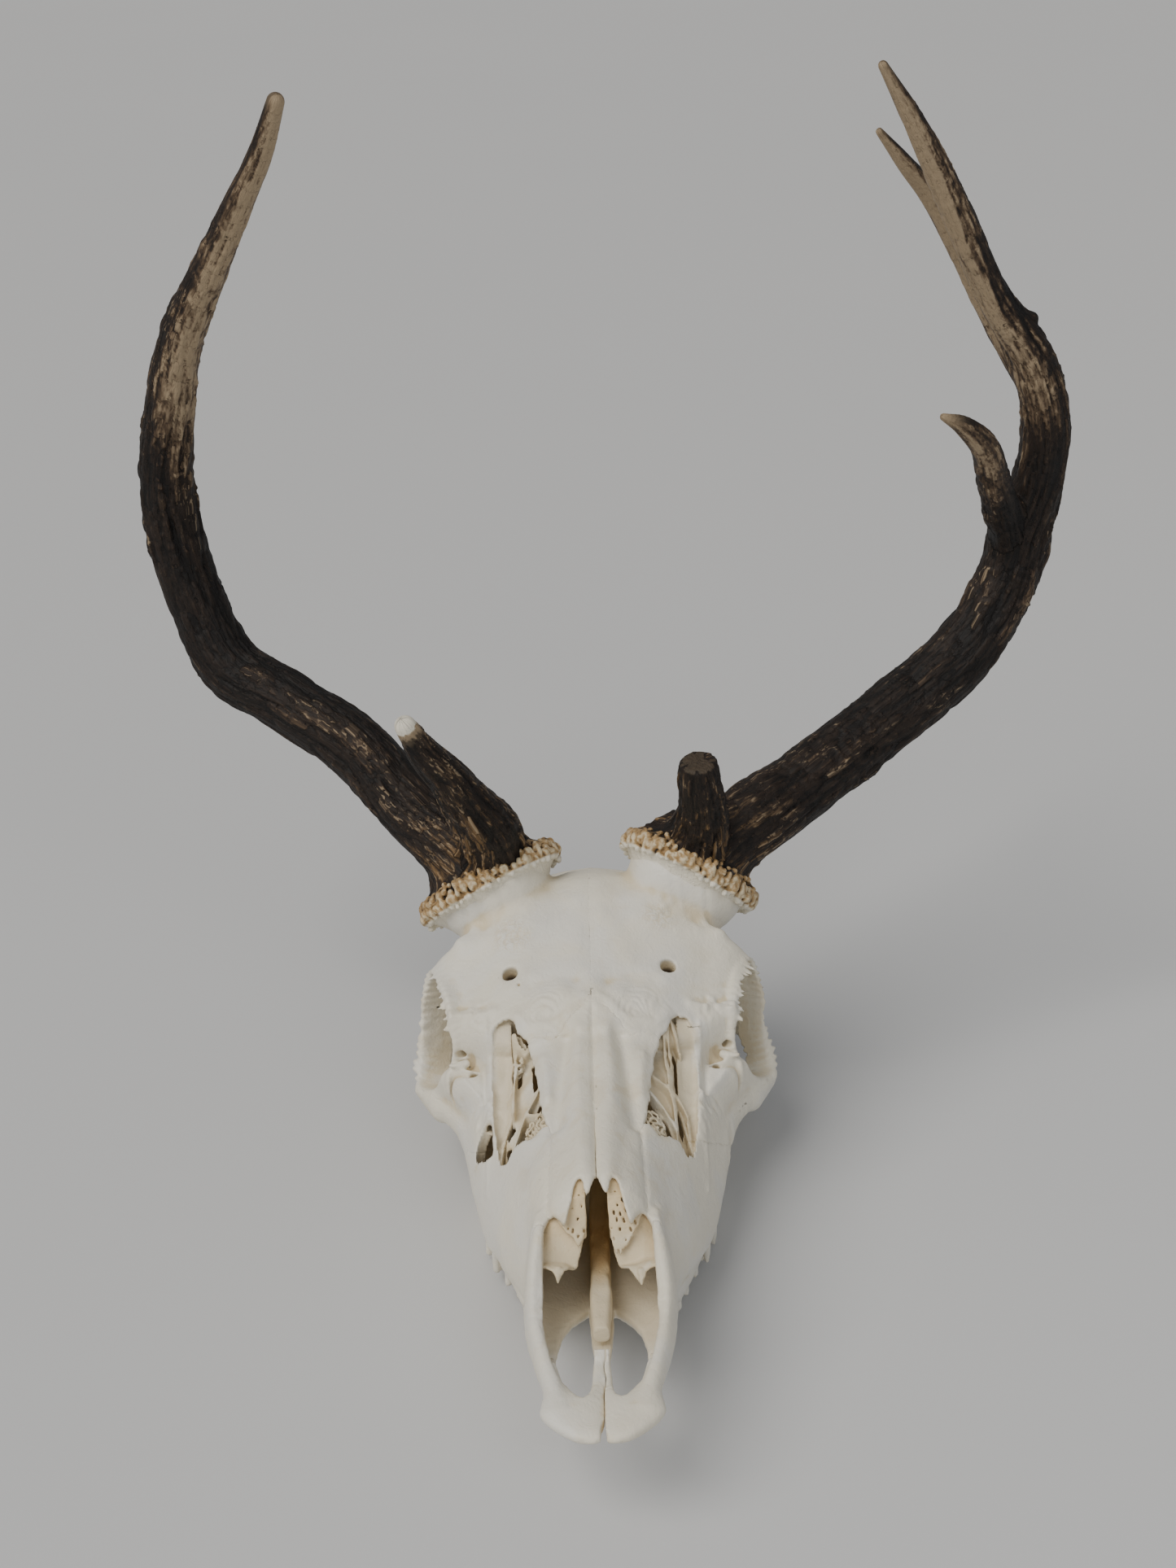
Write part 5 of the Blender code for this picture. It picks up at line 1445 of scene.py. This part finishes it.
class Tube:
    """Curved length of antler: its path, its radii and the relief on it."""

    def __init__(self, stops, strength, tip_reach, paleness, blunt, seed):
        path = smooth_path(stops, 6)
        self.points, self.radii = path[:, :3], path[:, 3]
        self.steps = np.linalg.norm(np.diff(self.points, axis=0), axis=1)
        self.travelled = np.concatenate([[0], np.cumsum(self.steps)])
        self.frames = frames_along(self.points, (0, 1, 0))
        self.texture = relief_map(self.travelled[-1], self.radii, strength, seed)
        self.tip_reach, self.paleness, self.blunt = tip_reach, paleness, blunt

    def locate(self, i, axes):
        """Distance from the surface, length along and angle round, as seen from one segment."""
        direction = (self.points[i + 1] - self.points[i]) / self.steps[i]
        along, a, b = on_directions(axes, self.points[i], (direction, *self.frames[i]))
        share = np.clip(along / self.steps[i], 0, 1)
        past = along - share * self.steps[i]
        s = self.travelled[i] + share * self.steps[i]
        angle = np.arctan2(b, a)
        radius = self.radii[i] * (1 - share) + self.radii[i + 1] * share + self.relief(s, angle)
        distance = np.sqrt(a * a + b * b + past * past) - radius
        return distance.astype(np.float32), s, angle

    def relief(self, s, angle):
        fade = np.clip((self.travelled[-1] - s) / self.tip_reach * 0.8 + 0.1, 0, 1)
        return read_relief(self.texture, s, angle) * fade


def tube_field(field, tube):
    """Add one length of antler to the field."""
    reach = tube.radii.max() + 7
    slices, axes = field.window(tube.points.min(axis=0) - reach, tube.points.max(axis=0) + reach)
    part = field_on(axes, field.voxel)
    for i in range(len(tube.steps)):
        ends = tube.points[i:i + 2]
        margin = tube.radii[i:i + 2].max() + 6
        window, place = part.window(ends.min(axis=0) - margin, ends.max(axis=0) + margin)
        part.add(window, tube.locate(i, place)[0])
    if tube.blunt:
        end = tube.points[-1]
        beyond = on_directions(axes, end, [unit(end - tube.points[-2])])[0]
        part.cut(..., -(beyond - 1.0), 2.0)
    field.add(slices, part.values, ANTLER_BLEND)


def stem_field(field, burr, texture):
    """Thick base above the burr, fluted like the beams."""
    slices, a, b, height = at_burr(field, burr)
    long_half, short_half = burr[-1]
    levels, shares = np.transpose(STEM_RINGS)
    share = np.interp(height, levels, shares)
    relief = read_relief(texture, height, np.arctan2(b / short_half, a / long_half))
    distance = rounded_distance(((a, long_half * share), (b, short_half * share)), 2.0) - relief
    past = np.maximum(levels[0] - height, height - levels[-1])
    distance = np.where(past > 0, np.hypot(np.maximum(distance, 0), past), distance)
    field.add(slices, distance, ANTLER_BLEND)


def antler_attributes(points, tubes, burr):
    """Relief, tip, nearness to the base, and coordinates that flow along the antler."""
    nearest = np.full(len(points), 1e6, np.float32)
    crest, tip = np.zeros(len(points)), np.zeros(len(points))
    flow = np.zeros((len(points), 3))
    for number, tube in enumerate(tubes):
        for i in range(len(tube.steps)):
            distance, s, angle = tube.locate(i, points.T)
            closer = distance < nearest
            s, angle, found = s[closer], angle[closer], points[closer]
            nearest[closer] = distance[closer]
            crest[closer] = tube.relief(s, angle) / size_share(np.interp(s, tube.travelled, tube.radii))
            tip[closer] = tube.paleness * np.exp(-(tube.travelled[-1] - s) / tube.tip_reach)
            radius = np.linalg.norm(found - tube.points[i], axis=1)
            radius = np.minimum(radius, tube.radii[i] * 1.2)
            flow[closer] = np.column_stack([s + 700 * number, radius * np.cos(angle), radius * np.sin(angle)])
    centre, axis = burr_axes(burr)[:2]
    base = ramp((points - centre) @ axis, 52, 18)
    return {"crest": np.clip(0.5 + 0.36 * crest, 0, 1), "tip": tip, "base": base, "flow": flow * MM}


def antler(word, lengths, burr, knobs, nodes, seed):
    """One antler without its burr."""
    tubes = [Tube(*length, seed + 10 * i) for i, length in enumerate(lengths)]
    centre = np.array(burr[0], float)
    corners = [tube.points + side * (tube.radii[:, None] + 6) for tube in tubes for side in (-1, 1)]
    corners = np.vstack([*corners, [centre - 46, centre + 46]])
    field = Field(corners.min(axis=0), corners.max(axis=0), ANTLER_VOXEL)
    stem_field(field, burr, relief_map(60, [24, 24], 1.2, seed + 5))
    for tube in tubes:
        tube_field(field, tube)
    for centre, radius in knobs:
        ellipsoid(field, centre, (radius, radius, radius), blend=2.5)
    points, faces = surface(field, ANTLER_ADAPTIVITY)
    piece = add_mesh(f"antler_{word}", points, faces, antler_attributes(points, tubes, burr))
    set_values(piece.data, "pale", paleness(piece, points))
    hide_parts(*[f"antler_{word}_{node}" for node in nodes])
    return piece


def paleness(piece, points):
    """Paler front and inner side of the upper beams, paler tops, and a little paler on every face that looks
    forward: bleaching high up, and painted light on the faces turned towards the lamps.
    """
    normals = np.zeros(len(points) * 3, np.float32)
    piece.data.vertices.foreach_get("normal", normals)
    normals = normals.reshape(-1, 3)
    # Faces turned forward, towards the fill and the key, are made paler: painted light.
    front = np.clip(-normals[:, 1], 0, 1)
    inward = -normals[:, 0] * np.sign(points[:, 0])
    upper, top = (ramp(points[:, 2], low, low + 70) for low in (300, 400))
    tine = np.exp(-(np.linalg.norm(points - BLEACHED_TINE, axis=1) / 30) ** 2)
    pale = upper * np.clip(1.7 * (0.75 * front + 0.65 * inward) - 0.15, 0, 1.4) + 0.45 * top
    return pale + 0.12 * front + 0.75 * tine * front


def burr_disc(field, burr, seed):
    """Flaring rim under the pearls."""
    slices, a, b, height = at_burr(field, burr)
    long_half, short_half = burr[-1]
    angle = np.arctan2(b / short_half, a / long_half) * 24 / (2 * np.pi)
    wave = lattice_noise(angle, 0 * angle, seed, 64)
    share = np.interp(height - 1.5 * wave, *np.transpose(BURR_RINGS)) + 0.02 * wave
    disc = rounded_distance(((a, long_half * share), (b, short_half * share)), 2.0)
    field.add(slices, common(disc, -BURR_HALF_HEIGHT - height, height - BURR_HALF_HEIGHT))


def burr_pearls(field, burr, seed):
    """Rows of uneven beads round the rim."""
    centre, axis, long, short, half = burr_axes(burr)
    random = np.random.default_rng(seed)
    for level, out, size, tall, spacing in PEARL_ROWS:
        count = int(math.pi * sum(half) / spacing)
        for i in range(count):
            turn = 2 * math.pi * (i + random.uniform(-0.3, 0.3)) / count
            cosine, sine = math.cos(turn), math.sin(turn)
            reach = out + random.normal(0, 0.012)
            place = (centre + long * half[0] * reach * cosine + short * half[1] * reach * sine
                     + axis * (level + random.normal(0, 0.7)))
            radial = unit(long * half[1] * cosine + short * half[0] * sine)
            aside = 0.3 * random.normal() * np.cross(axis, radial)
            lean = unit(axis + aside + 0.15 * random.normal() * radial)
            grow = random.uniform(0.75, 1.2)
            pearl(field, place, radial, lean, size * grow, tall * grow * random.uniform(0.8, 1.2))


def burr_piece(word, burr, seed):
    """Beaded rim round the antler's base, flaring from the bone below."""
    centre, axis = burr_axes(burr)[:2]
    field = Field(centre - BURR_REACH, centre + BURR_REACH, FINE_VOXEL)
    burr_disc(field, burr, seed)
    burr_pearls(field, burr, seed)
    x, y, z = field.whole()[1]
    height = at_burr(field, burr)[-1]
    rough = lattice_noise((x + 0.6 * z) / 1.7, (y - 0.6 * z) / 1.7, seed + 1)
    field.values -= (0.3 * rough * ramp(height, -1, 1)).astype(np.float32)
    points, faces = surface(field, BURR_ADAPTIVITY)
    height = (points - centre) @ axis
    full = box_blur((field.values < 0).astype(np.float32), max(1, round(1.3 / FINE_VOXEL)))
    crest = 1.3 - 1.3 * Field(field.low, field.low, FINE_VOXEL, full).at(points)
    crest = crest - 0.35 * ramp(height, 5, 9)
    under = np.clip((1.2 - height) / 3.0, 0, 1)
    piece = add_mesh(f"antler_{word}_burr", points, faces, {"crest": crest, "under": under})
    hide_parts(f"antler_{word}_base")
    return piece


def pearl(field, place, radial, axis, size, tall):
    """Bead drawn out along the antler's direction."""
    tangent = unit(np.cross(axis, radial))
    radial = np.cross(tangent, axis)
    slices, axes = field.window(place - tall - 3, place + tall + 3)
    offsets = on_directions(axes, place, (radial, tangent, axis))
    field.add(slices, rounded_distance([*zip(offsets, (size * 1.2, size * 0.9, tall))], 2.2), 1.5)


# ---------------------------------------------------------------- camera, light and floor

CAMERA_PLACE = (13, -615, 628)
CAMERA_PITCH, CAMERA_YAW, CAMERA_ROLL = 26.1, 0.7, -2.6        # degrees
FOCAL_PIXELS = 2600                                            # for a picture 1445 x 1927 pixels
PICTURE_HEIGHT = 1927
SENSOR_HEIGHT = 36.0
KEY_FROM = (-0.8, -0.6, 1.25)
KEY_LIGHT = {"energy": 2.15, "angle": 0.8, "color": (1.0, 0.965, 0.91)}
FILL_PLACE = (0.5, -1.4, 1.1)
FILL_LIGHT = {"shape": "DISK", "size": 1.2, "energy": 5.5, "color": (0.94, 0.97, 1.0)}
SKY_COLOUR = (0.95, 0.97, 1.0, 1)
SKY_STRENGTH = 0.28
FLOOR_REACH = 12.0              # metres from the middle to each side


def link_object(name, data):
    obj = bpy.data.objects.new(name, data)
    bpy.context.scene.collection.objects.link(obj)
    return obj


def place_object(name, data, axes, place):
    """Object whose own X, Y and Z lie along three directions."""
    obj = link_object(name, data)
    matrix = Matrix([list(axis) for axis in axes]).transposed().to_4x4()
    matrix.translation = place
    obj.matrix_world = matrix
    return obj


def add_camera():
    pitch, yaw, roll = (math.radians(a) for a in (CAMERA_PITCH, CAMERA_YAW, CAMERA_ROLL))
    back = np.array((math.sin(yaw) * math.cos(pitch), -math.cos(yaw) * math.cos(pitch), math.sin(pitch)))
    level = unit(np.cross(-back, (0, 0, 1)))
    upright = np.cross(level, -back)
    right = math.cos(roll) * level + math.sin(roll) * upright
    up = math.cos(roll) * upright - math.sin(roll) * level
    data = bpy.data.cameras.new("camera")
    data.sensor_fit = "VERTICAL"
    data.sensor_height = SENSOR_HEIGHT
    data.lens = SENSOR_HEIGHT * FOCAL_PIXELS / PICTURE_HEIGHT
    place = (np.array(CAMERA_PLACE) - ORIGIN) * MM
    bpy.context.scene.camera = place_object("camera", data, (right, up, back), place)


def add_light(name, kind, place, aim, settings):
    data = bpy.data.lights.new(name, kind)
    for key, value in settings.items():
        setattr(data, key, value)
    back = unit(np.array(place) - np.array(aim))
    side = unit(np.cross((0, 0, 1), back))
    place_object(name, data, (side, np.cross(back, side), back), place)


def add_studio():
    """Pale floor, a soft key from the upper left in front, a fill, and an even sky."""
    mesh = bpy.data.meshes.new("floor")
    corners = [(x * FLOOR_REACH, y * FLOOR_REACH, 0) for x, y in ((-1, -1), (1, -1), (1, 1), (-1, 1))]
    mesh.from_pydata(corners, [], [(0, 1, 2, 3)])
    mesh.materials.append(paper_material())
    floor = link_object("floor", mesh)
    add_light("key", "SUN", KEY_FROM, (0, 0, 0), KEY_LIGHT)
    add_light("fill", "AREA", FILL_PLACE, (0, 0, 0.15), FILL_LIGHT)
    world = bpy.data.worlds.new("studio")
    world.use_nodes = True
    background = world.node_tree.nodes["Background"]
    background.inputs["Color"].default_value = SKY_COLOUR
    background.inputs["Strength"].default_value = SKY_STRENGTH
    bpy.context.scene.world = world


# ---------------------------------------------------------------- build

def dress(piece, material):
    piece.data.materials.append(material)
    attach(piece, "root")


def build_skull():
    skull, outer = whole_skull()
    near, wide = fullness(skull, 2.5), fullness(skull, 8.0)
    inner = {"vomer": vomer()}
    for (side, word), seed in zip(SIDES, (161, 181)):
        inner[f"concha_{word}"] = concha(side, outer, seed)
        inner[f"ethmoid_{word}"] = vacuity_web(side, outer, seed + 200)
    finishes = (("bone", bone_material(), part_skull(skull)), ("nose_bone", nose_material(), inner))
    for slot, material, fields in finishes:
        for name, field in fields.items():
            points, faces = surface(field, BONE_ADAPTIVITY)
            piece = add_mesh(f"{name}_bone", points, faces, bone_attributes(points, outer, near, wide))
            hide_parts(name)
            dress(piece, material)


def build_antlers():
    beam, rim = antler_material(), burr_material()
    for word, (lengths, burr, knobs, nodes, seed) in ANTLERS.items():
        dress(antler(word, lengths, burr, knobs, nodes, seed), beam)
        dress(burr_piece(word, burr, seed + 50), rim)


build_skull()
build_antlers()
add_studio()
add_camera()
